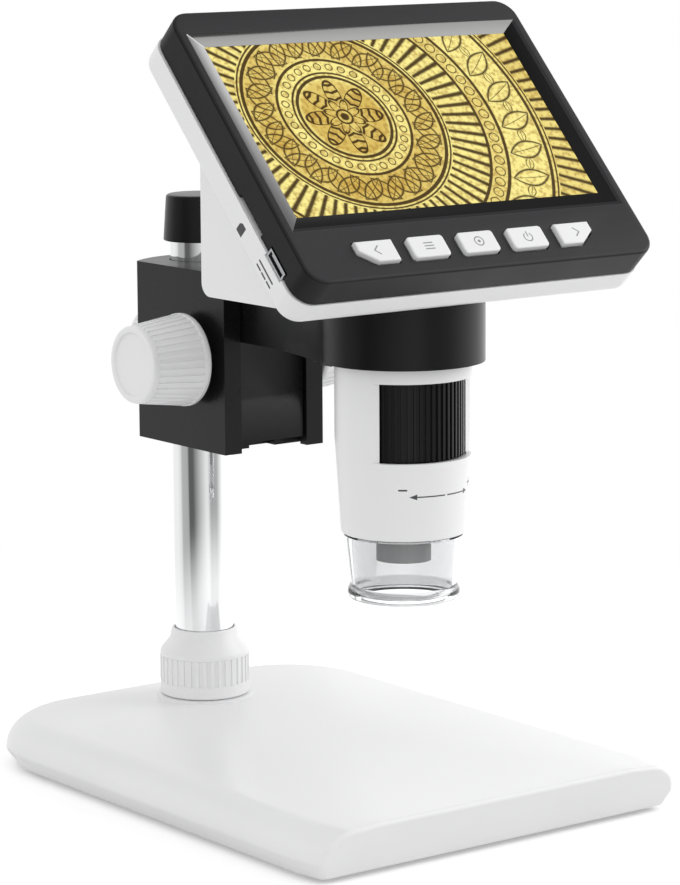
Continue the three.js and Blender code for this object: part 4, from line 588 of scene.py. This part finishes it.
# Knobs. Tapered ribbed white knobs on the ends of the focus shaft, with a smooth band at each end and a
# shallow dish in the outer face, and the smaller one behind that locks the carriage.
knob_profile = [
    (0, 0), (11, 0), (12.1, 0.3), (12.42, 0.9), (12.4, 2.1), (12, 2.1), (10.2, 15.5), (10.4, 15.5),
    (10.3, 16.9), (10.1, 17.35), (9.7, 17.5), (8.7, 17.5), (8.5, 17.3), (8.35, 16.8), (0, 16.6),
]
knob = ribbed_turn("focus_knob", knob_profile, (0, 0, 0), 36, 2.1, 15.5, 0.3, 0.6)
carve(knob, turn("knob_bore", [(0, -1), (2.55, -1), (2.55, 15.2), (0, 15.2)], (0, 0, 0), 32))
soften(knob, 0.08, 2)
for name, side in (("left", -1), ("right", 1)):
    twin = copy_of(knob, f"{name}_focus_knob", (0, 0, 0))
    lay_down(twin, (0, side * math.pi / 2, 0), (side * 18.5, shaft_y, shaft_z))
    dress(twin, "focus_drive", "white_shell", white_paint, f"focus_knob_{name}")
bpy.data.objects.remove(knob)
lock_profile = [
    (0, 0), (9.6, 0), (10.5, 0.4), (10.72, 1), (10.7, 1.9), (10.1, 1.9), (9.7, 6), (10.1, 6), (10.0, 7.5),
    (9.6, 8), (8.8, 8), (8.6, 7.8), (8.5, 7.3), (0, 7.2),
]
lock = ribbed_turn("carriage_lock_knob", lock_profile, (0, 0, 0), 28, 1.9, 6, 0.5, 0.45)
carve(lock, turn("lock_knob_bore", [(0, -1), (2.05, -1), (2.05, 5.7), (0, 5.7)], (0, 0, 0), 32))
lay_down(lock, (-math.pi / 2, 0, 0), (0, 62.9, lock_z))
soften(lock, 0.08, 2)
dress(lock, "lock_knob", "white_shell", white_paint, "lock_knob")

# Focus slide. A black moulding: a plate that runs in the channel, and an arm that flares into the ring
# round the barrel.
ring_y, ring_low, ring_high = -39.9, 118.8, 135.4
arm_low, arm_high = 118.0, 134.4
bpy.ops.object.select_all(action="DESELECT")
bpy.ops.mesh.primitive_plane_add(
    size=1, location=(0, 18.5 * mm, (arm_low + arm_high) / 2 * mm), rotation=(math.pi / 2, 0, 0),
)
arm = bpy.context.object
arm.name = "focus_slide_arm"
arm.scale = (20.6 * mm, (arm_high - arm_low) * mm, 1)
settle(arm)
open_edit("SELECT")
here_y, here_half = 18.5, 10.3
arm_half, flare_half, flare_start, flare_mid, flare_end = 10.3, 18.45, 12.5, -11.5, -30.09
flare = [(arm_half, flare_start)]
for step in range(1, 17):
    t = step / 16
    along = flare_start * (1 - t) ** 2 + 2 * flare_mid * t * (1 - t) + flare_end * t * t
    flare.append((arm_half * (1 - t * t) + flare_half * t * t, along))
flare.append((flare_half, -34))
for half, y in flare:
    bpy.ops.mesh.extrude_region_move(TRANSFORM_OT_translate={"value": (0, (y - here_y) * mm, 0)})
    bpy.ops.transform.resize(value=(half / here_half, 1, 1))
    here_y, here_half = y, half
bpy.ops.mesh.select_all(action="SELECT")
bpy.ops.mesh.normals_make_consistent(inside=False)
close_edit()
ring_profile = [(0, ring_low), (20.9, ring_low), (20.9, ring_high), (0, ring_high)]
carve(arm, turn("ring", ring_profile, (0, ring_y, 0), 128), "UNION")
carve(arm, turn("ring_bore", [(0, 100), (18.9, 100), (18.9, 140), (0, 140)], (0, ring_y, 0), 128))
carve(arm, block("slide_panel", (-10.3, 16.9, 90.7), (10.3, 19.5, arm_high)), "UNION")
carve(arm, block("slide_tongue", (-13.1, 19.2, 90.7), (13.1, 21.4, arm_high)), "UNION")
soften(arm, 0.4, 3, 30)
dress(arm, "focus_slide", "black_shell", black_paint, "focus_arm")
liner = turn(
    "turning_liner",
    [
        (17.8, 118.8), (18.4, 118.8), (18.6, 119), (18.6, 135.7), (20.4, 135.7),
        (20.5, 135.85), (20.5, 136.3), (20.3, 136.5), (17.8, 136.5),
    ],
    (0, ring_y, 0), 128,
)
soften(liner, 0)
dress(liner, "holder_liner", "black_shell", black_paint, "holder_liner")

# Barrel. A white tube under the screen head, slightly tapered at its foot, with a wide window in front for
# the focus wheel and printed focus marks.
print_paint, print_shader, print_place = new_finish(
    "printed white plastic", Roughness=0.3, Specular_IOR_Level=0.45,
)


def axes(place):
    split = place.node("ShaderNodeSeparateXYZ", {}, {0: place}).output.node
    return [Socket(place.tree, output) for output in split.outputs]


def stroke(x, y, start, end, width):
    """1 on a straight printed line from start to end, with round ends."""
    run_x, run_y = end[0] - start[0], end[1] - start[1]
    off_x, off_y = x - start[0], y - start[1]
    along = ((off_x * run_x + off_y * run_y) / (run_x * run_x + run_y * run_y)).clamped()
    miss_x, miss_y = off_x - along * run_x, off_y - along * run_y
    return (miss_x * miss_x + miss_y * miss_y).math("SQRT").below(width / 2, 0.06)


def together(*marks):
    whole = marks[0]
    for mark in marks[1:]:
        whole = whole.math("MAXIMUM", mark)
    return whole


x, y, z = axes(print_place)
off_y = y - ring_y
marked_radius = 17
per_degree = math.radians(marked_radius)
arc = x.math("ARCTAN2", -off_y) * marked_radius
arrow_z, sign_z = 86.3, 88.1
left_tip, right_tip = -33.2 * per_degree, 33 * per_degree


def arrow_head(x, z, tip, way, long=2.1, half=0.75):
    """1 on a filled arrowhead whose tip points left (-1) or right (1)."""
    back = (tip - x) * way
    return back.below(long, 0.08) * (back > 0) * (abs(z - arrow_z) - back * (half / long)).below(0, 0.08)


marks = together(
    stroke(arc, z, (0.3 * per_degree, arrow_z), (left_tip + 1, arrow_z), 0.34),
    arrow_head(arc, z, left_tip, -1),
    stroke(arc, z, (3.6 * per_degree, arrow_z), (right_tip - 1, arrow_z), 0.34),
    arrow_head(arc, z, right_tip, 1),
    stroke(arc, z, (-42 * per_degree, sign_z), (-35.5 * per_degree, sign_z), 0.45),
    stroke(arc, z, (35.5 * per_degree, sign_z), (42 * per_degree, sign_z), 0.45),
    stroke(arc, z, (38.7 * per_degree, sign_z - 1), (38.7 * per_degree, sign_z + 1), 0.45),
)
outside = (x * x + off_y * off_y) > 15.7 ** 2
printed = marks * outside * (off_y < 0)
feed(print_shader, "Base Color", printed.blend((0.84, 0.84, 0.845, 1), (0.06, 0.06, 0.065, 1)))
barrel = turn(
    "optical_barrel",
    [
        (14.9, 74.7), (15.6, 74.7), (15.9, 74.85), (16, 75.2), (17.5, 99.3), (17.5, 136.5), (16, 136.5),
        (16, 94.4), (14.2, 94.4), (14.2, 80.1), (14.9, 80.1),
    ],
    (0, ring_y, 0), 144,
)


def window_tool(name, inner, outer, near_radius, far_radius, low, high, steps=24):
    """A curved slab round the barrel's front: inner and outer are its half angles at its two radii."""
    points = []
    for radius, half, way in ((near_radius, inner, 1), (far_radius, outer, -1)):
        for step in range(steps + 1):
            angle = math.radians(-90 + way * half * (2 * step / steps - 1))
            points.append((radius * math.cos(angle), ring_y + radius * math.sin(angle)))
    return new_outline(name, points, low, high)


carve(barrel, window_tool("window", 60, 60, 15, 20, 94.7, 114.9))
carve(barrel, window_tool("window_flare", 59.9, 75, 16, 20.5, 94.72, 114.88))
soften(barrel, 0.2, 3, 28)
dress(barrel, "scope", "white_shell", print_paint, "barrel_tube")

# Focus wheel. A black ribbed ring inside the barrel that is turned through the window.
wheel = ribbed_turn(
    "ribbed_focus_wheel", [(13, 94.8), (15.0, 94.8), (15.1, 94.9), (15.1, 114.7), (15.0, 114.8), (13, 114.8)],
    (0, ring_y, 0), 60, 94.85, 114.75, 0.5, 0.55,
)
soften(wheel, 0.08, 2)
dress(wheel, "focus_wheel", "black_shell", black_paint, "focus_wheel")

# Nose cap. A clear moulded cap pushed into the barrel's foot, open in the middle.
# The clear plastic is tinted grey, a painted shade that stands in for the darker things seen through a clear
# cap in a studio.
clear_paint, clear_shader, clear_place = new_finish(
    "clear plastic tinted grey as painted shade", Base_Color=(0.58, 0.585, 0.59, 1), Roughness=0.03, Transmission_Weight=1, IOR=1.49,
)
haze = noise(clear_place, 0.3)
feed(clear_shader, "Roughness", 0.01 + 0.05 * haze)
nose = turn(
    "clear_nose_cap",
    [
        (10.8, 57.6), (13.2, 57.6), (13.8, 57.8), (14.2, 58.3), (14.4, 59.2), (14.3, 60), (13.9, 60.9),
        (13.85, 61.4), (14.2, 64.5), (15.3, 73.6), (15.3, 74.1), (14.9, 74.4), (14.6, 74.4), (14.6, 77.2),
        (14.4, 77.4), (13.4, 77.4), (13.4, 74.4), (12.5, 61.3), (12.4, 60), (12.1, 59.4), (11.4, 58.9),
        (10.8, 58.8),
    ],
    (0, ring_y, 0), 144,
)
soften(nose, 0)
dress(nose, "nose_cap", "clear_plastic", clear_paint, "nose_cap")

# Bezel. A shallow black tray, fine-textured in front, with smooth glossy sloping walls round the picture
# and holes for the five buttons.
head_tilt, head_y, head_z = math.radians(46), -40.6, 178.85


def tilt_to_head(piece):
    """Turns a piece modelled flat, in the screen's own axes, into the head's place."""
    piece.rotation_euler = (head_tilt, 0, 0)
    piece.location = (0, head_y * mm, head_z * mm)
    settle(piece)


def screen_axes(place):
    """Across the screen, up the screen and out of the screen, in mm from the middle of the picture."""
    x, y, z = axes(place)
    back, high = y - head_y, z - head_z
    cos, sin = math.cos(head_tilt), math.sin(head_tilt)
    return x, back * cos + high * sin, high * cos - back * sin


bezel_paint, bezel_shader, bezel_place = new_finish("textured black plastic", Specular_IOR_Level=0.26)
x, u, out = screen_axes(bezel_place)
smooth = (abs(x) < 52.25) * (u < 30.5) * (u > -32.3) * (out < 1.78)
on_side = abs(x) > 54.3
grit = bezel_place.node("ShaderNodeTexVoronoi", {}, {"Vector": bezel_place, "Scale": 3.2})
matte = noise(bezel_place, 0.08)
feed(bezel_shader, "Roughness", smooth * 0.1 + (1 - smooth) * (0.42 + 0.1 * matte))
half_picture, half_tall = 47.5, 26.95
side_slope, top_slope, low_slope = 4.7, 3.5, 5.3
left_wall, right_wall = (-x - half_picture) / side_slope, (x - half_picture) / side_slope
top_wall, low_wall = (u - half_tall) / top_slope, (-u - half_tall) / low_slope
# The left and top walls of the picture's recess are given pale and grey metal, a painted reflection that
# makes them look lit. The right and lower walls stay plain black.
painted_sheen_left_wall = smooth * (left_wall > 0) * (left_wall > top_wall) * (left_wall > low_wall)
painted_sheen_top_wall = smooth * (top_wall > 0) * (top_wall > left_wall) * (top_wall > right_wall)
feed(bezel_shader, "Metallic", together(painted_sheen_left_wall, painted_sheen_top_wall))
surface = together(on_side, out < 1.5).blend((0.024, 0.024, 0.026, 1), (0.006, 0.006, 0.006, 1))
surface = painted_sheen_top_wall.blend(surface, (0.16, 0.16, 0.157, 1))
feed(bezel_shader, "Base Color", painted_sheen_left_wall.blend(surface, (0.45, 0.45, 0.45, 1)))
feed(bezel_shader, "Normal", bumps(grit, 0.35 * (1 - smooth), 0.05))
head_low, head_top = -48, 37.5
bezel = new_outline("screen_bezel", rounded(-54.5, 54.5, head_low, head_top, 5.5), -6.7, 1.8)
open_edit()
pick(bezel, "EDGE", lambda a, b: a.z > 1.7 and b.z > 1.7)
bpy.ops.mesh.bevel(offset=0.8 * mm, segments=4)
close_edit()
carve(bezel, new_outline("tray", rounded(-52.9, 52.9, head_low + 1.6, head_top - 1.6, 3.9), -8, 0.3))
corners = [(1, 1), (-1, 1), (-1, -1), (1, -1)]
recess = new_outline("recess", [(half_picture * x, half_tall * y) for x, y in corners], 0.3, 2.8)
open_edit()
pick(recess, "FACE", lambda middle, normal: normal.z > 0.9)
grow = (2.8 - 0.3) / 1.5
bpy.ops.transform.translate(value=(0, (top_slope - low_slope) / 2 * grow * mm, 0))
mean_slope = (top_slope + low_slope) / 2
bpy.ops.transform.resize(value=(1 + side_slope * grow / half_picture, 1 + mean_slope * grow / half_tall, 1))
close_edit()
carve(bezel, recess)
carve(bezel, block("picture_opening", (-half_picture, -half_tall, -2), (half_picture, half_tall, 0.5)))


button_u = -40.7
button_x = [-0.6 + 15.6 * step for step in (-2, -1, 0, 1, 2)]


def button_points(number, grow, corner=1.0):
    """Outline of one button. The two outer ones have a cut lower corner."""
    wide, high = 5.55 + grow, 3.2 + grow
    middle = button_x[number]
    if number in (1, 2, 3):
        return rounded(middle - wide, middle + wide, button_u - high, button_u + high, corner + grow, 5)
    side = -1 if number == 0 else 1
    points = [(wide, high), (-wide, high), (-wide, -high), (wide - 4.66, -high), (wide, 3.52 - high)]
    placed = [(middle + side * px, button_u + py) for px, py in points]
    return placed if side > 0 else placed[::-1]


for number in range(5):
    carve(bezel, new_outline("button_hole", button_points(number, 0.3), -3, 4))
power_middle, card_middle = -35.5, -20.5
power_cut = ((-57, power_middle - 4.3, -7.9), (-51, power_middle + 4.3, -4.6))
card_cut = ((-57, card_middle - 6.1, -7.0), (-51, card_middle + 6.1, -5.7))
carve(bezel, block("power_mouth", *power_cut))
carve(bezel, block("card_mouth", *card_cut))
tilt_to_head(bezel)
soften(bezel, 0.22, 2, 28)
dress(bezel, "scope", "black_shell", bezel_paint, "front_bezel")

# Rear shell. The white back of the head: a shallow tray with a rounded rear edge and the upright wedge
# that stands on the barrel. Its left side has the printed signs of the two sockets.
shell_paint, shell_shader, shell_place = new_finish(
    "white shell with signs", Roughness=0.32, Specular_IOR_Level=0.45,
)
x, u, out = screen_axes(shell_place)
card_u, sign_out, power_u = -20.7, -11.0, -34.5
card_along, card_out = u - card_u, out - sign_out
card = abs(card_along).below(1.35, 0.08) * abs(card_out).below(1.6, 0.08) * ((card_along + card_out) < 2.1)
power_bars = [(-3.6, 3.6, 0.7)] + [(start, start + 1.8, -0.8) for start in (-3.6, -0.9, 1.8)]
signs = together(card, *(
    stroke(u, out, (power_u + start, sign_out + rise), (power_u + end, sign_out + rise), 0.55)
    for start, end, rise in power_bars
))
feed(shell_shader, "Base Color", (signs * (x < -54.5)).blend((0.84, 0.84, 0.845, 1), (0.05, 0.05, 0.055, 1)))
shell = new_outline("head_shell", rounded(-55, 55, head_low, head_top, 5.5), -15, -7)
open_edit()
pick(shell, "EDGE", lambda a, b: a.z < -14.9 and b.z < -14.9)
bpy.ops.mesh.bevel(offset=3 * mm, segments=8)
close_edit()
shell_wall = 1.8
cavity_outline = rounded(-55 + shell_wall, 55 - shell_wall, head_low + shell_wall, head_top - shell_wall, 3.7)
cavity = new_outline("shell_cavity", cavity_outline, -15 + shell_wall, -6)
card_slot = block("card_mouth", *card_cut)
power_slot = block("power_mouth", *power_cut)
for tool in (shell, cavity, card_slot, power_slot):
    tilt_to_head(tool)


def wedge(name, inset, half):
    """The wedge's side outline, drawn flat as (distance, height) and then turned up on edge."""
    back, floor_z, edge = -18.6 - inset, 136.8 + inset, 3.5 - inset
    depth = -14.1 if inset == 0 else -12.6
    cos, sin = math.cos(head_tilt), math.sin(head_tilt)
    up_at_floor = (floor_z - head_z - depth * cos) / sin
    up_at_back = (back - head_y + depth * sin) / cos
    points = [(head_y + up_at_floor * cos - depth * sin, floor_z)]
    for step in range(9):
        angle = math.radians(-90 + 90 * step / 8)
        points.append((back - edge + edge * math.cos(angle), floor_z + edge + edge * math.sin(angle)))
    points.append((back, head_z + up_at_back * sin + depth * cos))
    piece = new_outline(name, points, -half, half)
    piece.rotation_euler = Matrix(((0, 0, 1), (1, 0, 0), (0, 1, 0))).to_euler()
    settle(piece)
    return piece


carve(shell, wedge("wedge", 0, 47), "UNION")
carve(shell, cavity)
carve(shell, wedge("wedge_room", shell_wall, 47 - shell_wall))
carve(shell, turn("barrel_mouth", [(0, 130), (16, 130), (16, 139), (0, 139)], (0, ring_y, 0)))
carve(shell, card_slot)
carve(shell, power_slot)
for side in (-1, 1):
    hole = turn("screw_recess", [(0, -16), (2.4, -16), (2.4, -12.8), (0, -12.8)], (side * 50.3, -43.5, 0), 32)
    tilt_to_head(hole)
    carve(shell, hole)
soften(shell, 0.3, 3, 28)
dress(shell, "scope", "white_shell", shell_paint, "rear_shell")

# Screen. A clear cover pane over the lit picture. The picture is a made-up engraved rosette in gold and
# brown: beads, rays and leaf sprigs in rings.
screen_paint, screen_shader, screen_place = new_finish(
    "lit screen picture", Roughness=0.25, Specular_IOR_Level=0.05, Emission_Strength=1,
)
x, u, out = screen_axes(screen_place)


def polar(across, along, middle):
    off_x, off_y = across - middle[0], along - middle[1]
    return (off_x * off_x + off_y * off_y).math("SQRT"), off_y.math("ARCTAN2", off_x)


def cell(angle, count, radius, shift=0.0):
    """Distance along the arc from the middle of the nearest of count equal cells."""
    part = angle * (count / (2 * math.pi)) + shift + 100
    return (part.math("FRACT") - 0.5) * (2 * math.pi * radius / count)


def ring_line(radius, where, width):
    return abs(radius - where).below(width / 2, 0.12)


def bead_row(radius, angle, where, count, size):
    along, across = cell(angle, count, where), radius - where
    gap = (along * along + across * across).math("SQRT")
    return abs(gap - size).below(0.16, 0.14)


def leaf_row(radius, angle, where, count, lean, long, wide, shift=0.0):
    along, across = cell(angle, count, where, shift), radius - where
    cos, sin = math.cos(math.radians(lean)), math.sin(math.radians(lean))
    down, over = along * cos + across * sin, across * cos - along * sin
    rim = (down * down) * (1 / long / long) + abs(over) * (1 / wide)
    vein = abs(over).below(0.1, 0.12) * ((down * down) * (1 / long / long)).below(0.8, 0.1)
    return together(abs(rim - 1).below(0.13, 0.12), vein)


medal = (-17, 3)
radius, angle = polar(x, u, medal)
petal = abs((angle * 4).math("COSINE"))
outer_edge = 11.6 * (0.42 + 0.58 * petal)
inner_edge = 5.6 * (0.45 + 0.55 * abs((angle * 4).math("SINE")))
vein = (radius * 2.6 + abs(cell(angle, 8, 1)) * 9).math("SINE")
lines = together(
    radius.below(1.2, 0.2), ring_line(radius, 2.2, 0.6),
    abs(radius - outer_edge).below(0.42, 0.16), abs(radius - inner_edge).below(0.34, 0.14),
    vein.below(-0.45, 0.3) * (radius < outer_edge) * (radius > inner_edge),
    ring_line(radius, 13, 0.9), ring_line(radius, 14.3, 0.6),
    bead_row(radius, angle, 16.4, 30, 1.0), ring_line(radius, 18.6, 0.8),
    leaf_row(radius, angle, 23.4, 22, 50, 4.6, 2.1), leaf_row(radius, angle, 23.4, 22, -50, 4.6, 2.1, 0.5),
    ring_line(radius, 28.2, 1), ring_line(radius, 29.4, 0.5),
    abs(cell(angle, 72, 1)).below(0.017, 0.01) * (radius > 30) * (radius < 40.5),
    ring_line(radius, 40.8, 0.9), bead_row(radius, angle, 43.4, 70, 1.4), ring_line(radius, 46, 1),
    leaf_row(radius, angle, 52.4, 34, 64, 5.6, 2.6), leaf_row(radius, angle, 52.4, 34, 0, 2.2, 1.1, 0.5),
    ring_line(radius, 58.6, 1), ring_line(radius, 60, 0.5),
    abs(cell(angle, 120, 1)).below(0.009, 0.006) * (radius > 60.6),
)
wash = noise(screen_place, 0.05)
worn = noise(screen_place, 0.8, 5)
zones = [
    (0, 0.25), (11.5, 0.2), (12.6, 0.75), (15, 0.9), (18, 0.8), (19.5, 0.35), (23.4, 0.15), (27.5, 0.4),
    (29.5, 0.9), (40, 0.95), (41.5, 0.5), (45, 0.6), (47, 0.9), (52, 0.95), (57, 0.85), (60, 0.5), (80, 0.6),
]
zones = [(place / 80, (level, level, level)) for place, level in zones]
height = screen_place.node("ShaderNodeValToRGB", {"stops": zones}, {0: radius / 80})
gold = (wash * 1.4 - 0.7 + height * 1.1).clamped().blend((0.66, 0.44, 0.08, 1), (1, 0.88, 0.3, 1))
gold = (worn.below(0.46, 0.1) * 0.55).blend(gold, (0.38, 0.2, 0.025, 1))
picture = (lines * 0.96).blend(gold, (0.05, 0.022, 0.003, 1))
feed(screen_shader, "Emission Color", picture)
screen_shader.inputs["Base Color"].default_value = (0.006, 0.006, 0.006, 1)
pane = block("cover_pane", (-49.5, -28.95, -1), (49.5, 28.95, 0))
tilt_to_head(pane)
soften(pane, 0.15, 2)
dress(pane, "scope", "cover_glass", screen_paint, "screen_glass")

# Buttons. Five white keys that stand through the bezel, each with its own pale grey sign.
grey_sign = (0.27, 0.27, 0.28, 1)
for number, name in enumerate(("left", "menu", "middle", "power", "right")):
    middle = button_x[number]
    paint, shader, place = new_finish(f"white key {name}", Roughness=0.35, Specular_IOR_Level=0.45)
    x, u, out = screen_axes(place)
    across, along = x - middle, u - button_u
    if name in ("left", "right"):
        side = -1 if name == "left" else 1
        sign = together(
            stroke(across, along, (1.0 * side, 0.1), (-0.4 * side, 1.35), 0.36),
            stroke(across, along, (1.0 * side, 0.1), (-0.4 * side, -1.15), 0.36),
        )
    if name == "menu":
        sign = together(*(stroke(across, along, (-1.3, v), (1.3, v), 0.34) for v in (-0.9, 0, 0.9)))
    if name == "middle":
        gap, around = polar(across, along, (0, 0))
        sign = together(abs(gap - 1.3).below(0.17, 0.06), gap.below(0.45, 0.06))
    if name == "power":
        gap, around = polar(across, along, (0, -0.1))
        sign = together(
            abs(gap - 1.25).below(0.17, 0.06) * (abs(around - math.pi / 2) > 0.6),
            stroke(across, along, (0, 0.1), (0, 1.5), 0.34),
        )
    feed(shader, "Base Color", (sign * (out > 2.9)).blend((0.8, 0.8, 0.805, 1), grey_sign))
    key = new_outline(f"{name}_key", button_points(number, 0), -0.6, 3.0)
    open_edit()
    pick(key, "EDGE", lambda a, b: a.z > 2.9 and b.z > 2.9)
    bpy.ops.mesh.bevel(offset=0.45 * mm, segments=4)
    close_edit()
    carve(key, new_outline("key_flange", button_points(number, 0.7), -1, 0), "UNION")
    stem = [(0, -3.2), (1.3, -3.2), (1.3, -0.5), (0, -0.5)]
    carve(key, turn("key_stem", stem, (middle, button_u, 0), 24), "UNION")
    tilt_to_head(key)
    soften(key, 0, 2, 40)
    dress(key, f"button_{name}", "white_shell", paint, f"button_{name}")

# Inner pieces. The screws, shafts, boards and plates inside keep the solids of the frame, each in the
# finish of its own material.


def plain_finish(name, first, second, scale, roughness, spread, **values):
    """A finish whose colour and roughness drift a little over the piece."""
    paint, shader, place = new_finish(name, **values)
    drift = noise(place, scale)
    feed(shader, "Base Color", drift.blend((*first, 1), (*second, 1)))
    feed(shader, "Roughness", roughness + spread * drift)
    return paint


steel_paint = plain_finish("plated steel", (0.5, 0.51, 0.53), (0.6, 0.61, 0.62), 0.8, 0.22, 0.2, Metallic=1)
brass_paint = plain_finish("brass", (0.55, 0.38, 0.14), (0.66, 0.48, 0.2), 0.7, 0.2, 0.2, Metallic=1)
nylon_paint = plain_finish("natural nylon", (0.62, 0.6, 0.54), (0.7, 0.68, 0.62), 0.4, 0.4, 0.15)
metal_paint = plain_finish(
    "black anodised metal", (0.012, 0.012, 0.013), (0.03, 0.03, 0.032), 0.5, 0.3, 0.15, Metallic=0.6,
)
board_paint = plain_finish("green circuit board", (0.01, 0.09, 0.04), (0.02, 0.14, 0.06), 1.5, 0.4, 0.2)
cell_paint = plain_finish("blue cell wrap", (0.02, 0.08, 0.3), (0.03, 0.11, 0.36), 0.3, 0.3, 0.1)
panel_paint = plain_finish(
    "display panel back", (0.35, 0.36, 0.37), (0.45, 0.46, 0.47), 0.3, 0.3, 0.1, Metallic=1,
)
# The lens tube is black. Its end below z 76 mm, seen through the clear nose cap, is white, painted light that
# stands in for the light coming in through the cap.
lens_paint, lens_shader, lens_place = new_finish("lens tube, its end whitened as painted light", Roughness=0.5)
x, y, z = axes(lens_place)
feed(lens_shader, "Base Color", z.below(76, 0.1).blend((0.015, 0.015, 0.016, 1), (0.93, 0.93, 0.93, 1)))
by_slot = {
    "white_shell": white_paint, "black_shell": black_paint, "chrome": chrome_paint, "steel": steel_paint,
    "black_metal": metal_paint, "brass": brass_paint, "rubber": rubber_paint, "nylon": nylon_paint,
    "clear_plastic": clear_paint, "cover_glass": clear_paint, "circuit": board_paint, "cell_wrap": cell_paint,
    "lcd_module": panel_paint,
}
by_node = {"lens_carrier": lens_paint}
for subpart in frame["record"]["subparts"]:
    solid = nodes[subpart["node"]]
    for place in solid.material_slots:
        place.material = by_node.get(subpart["node"], by_slot[subpart["material_slot"]])
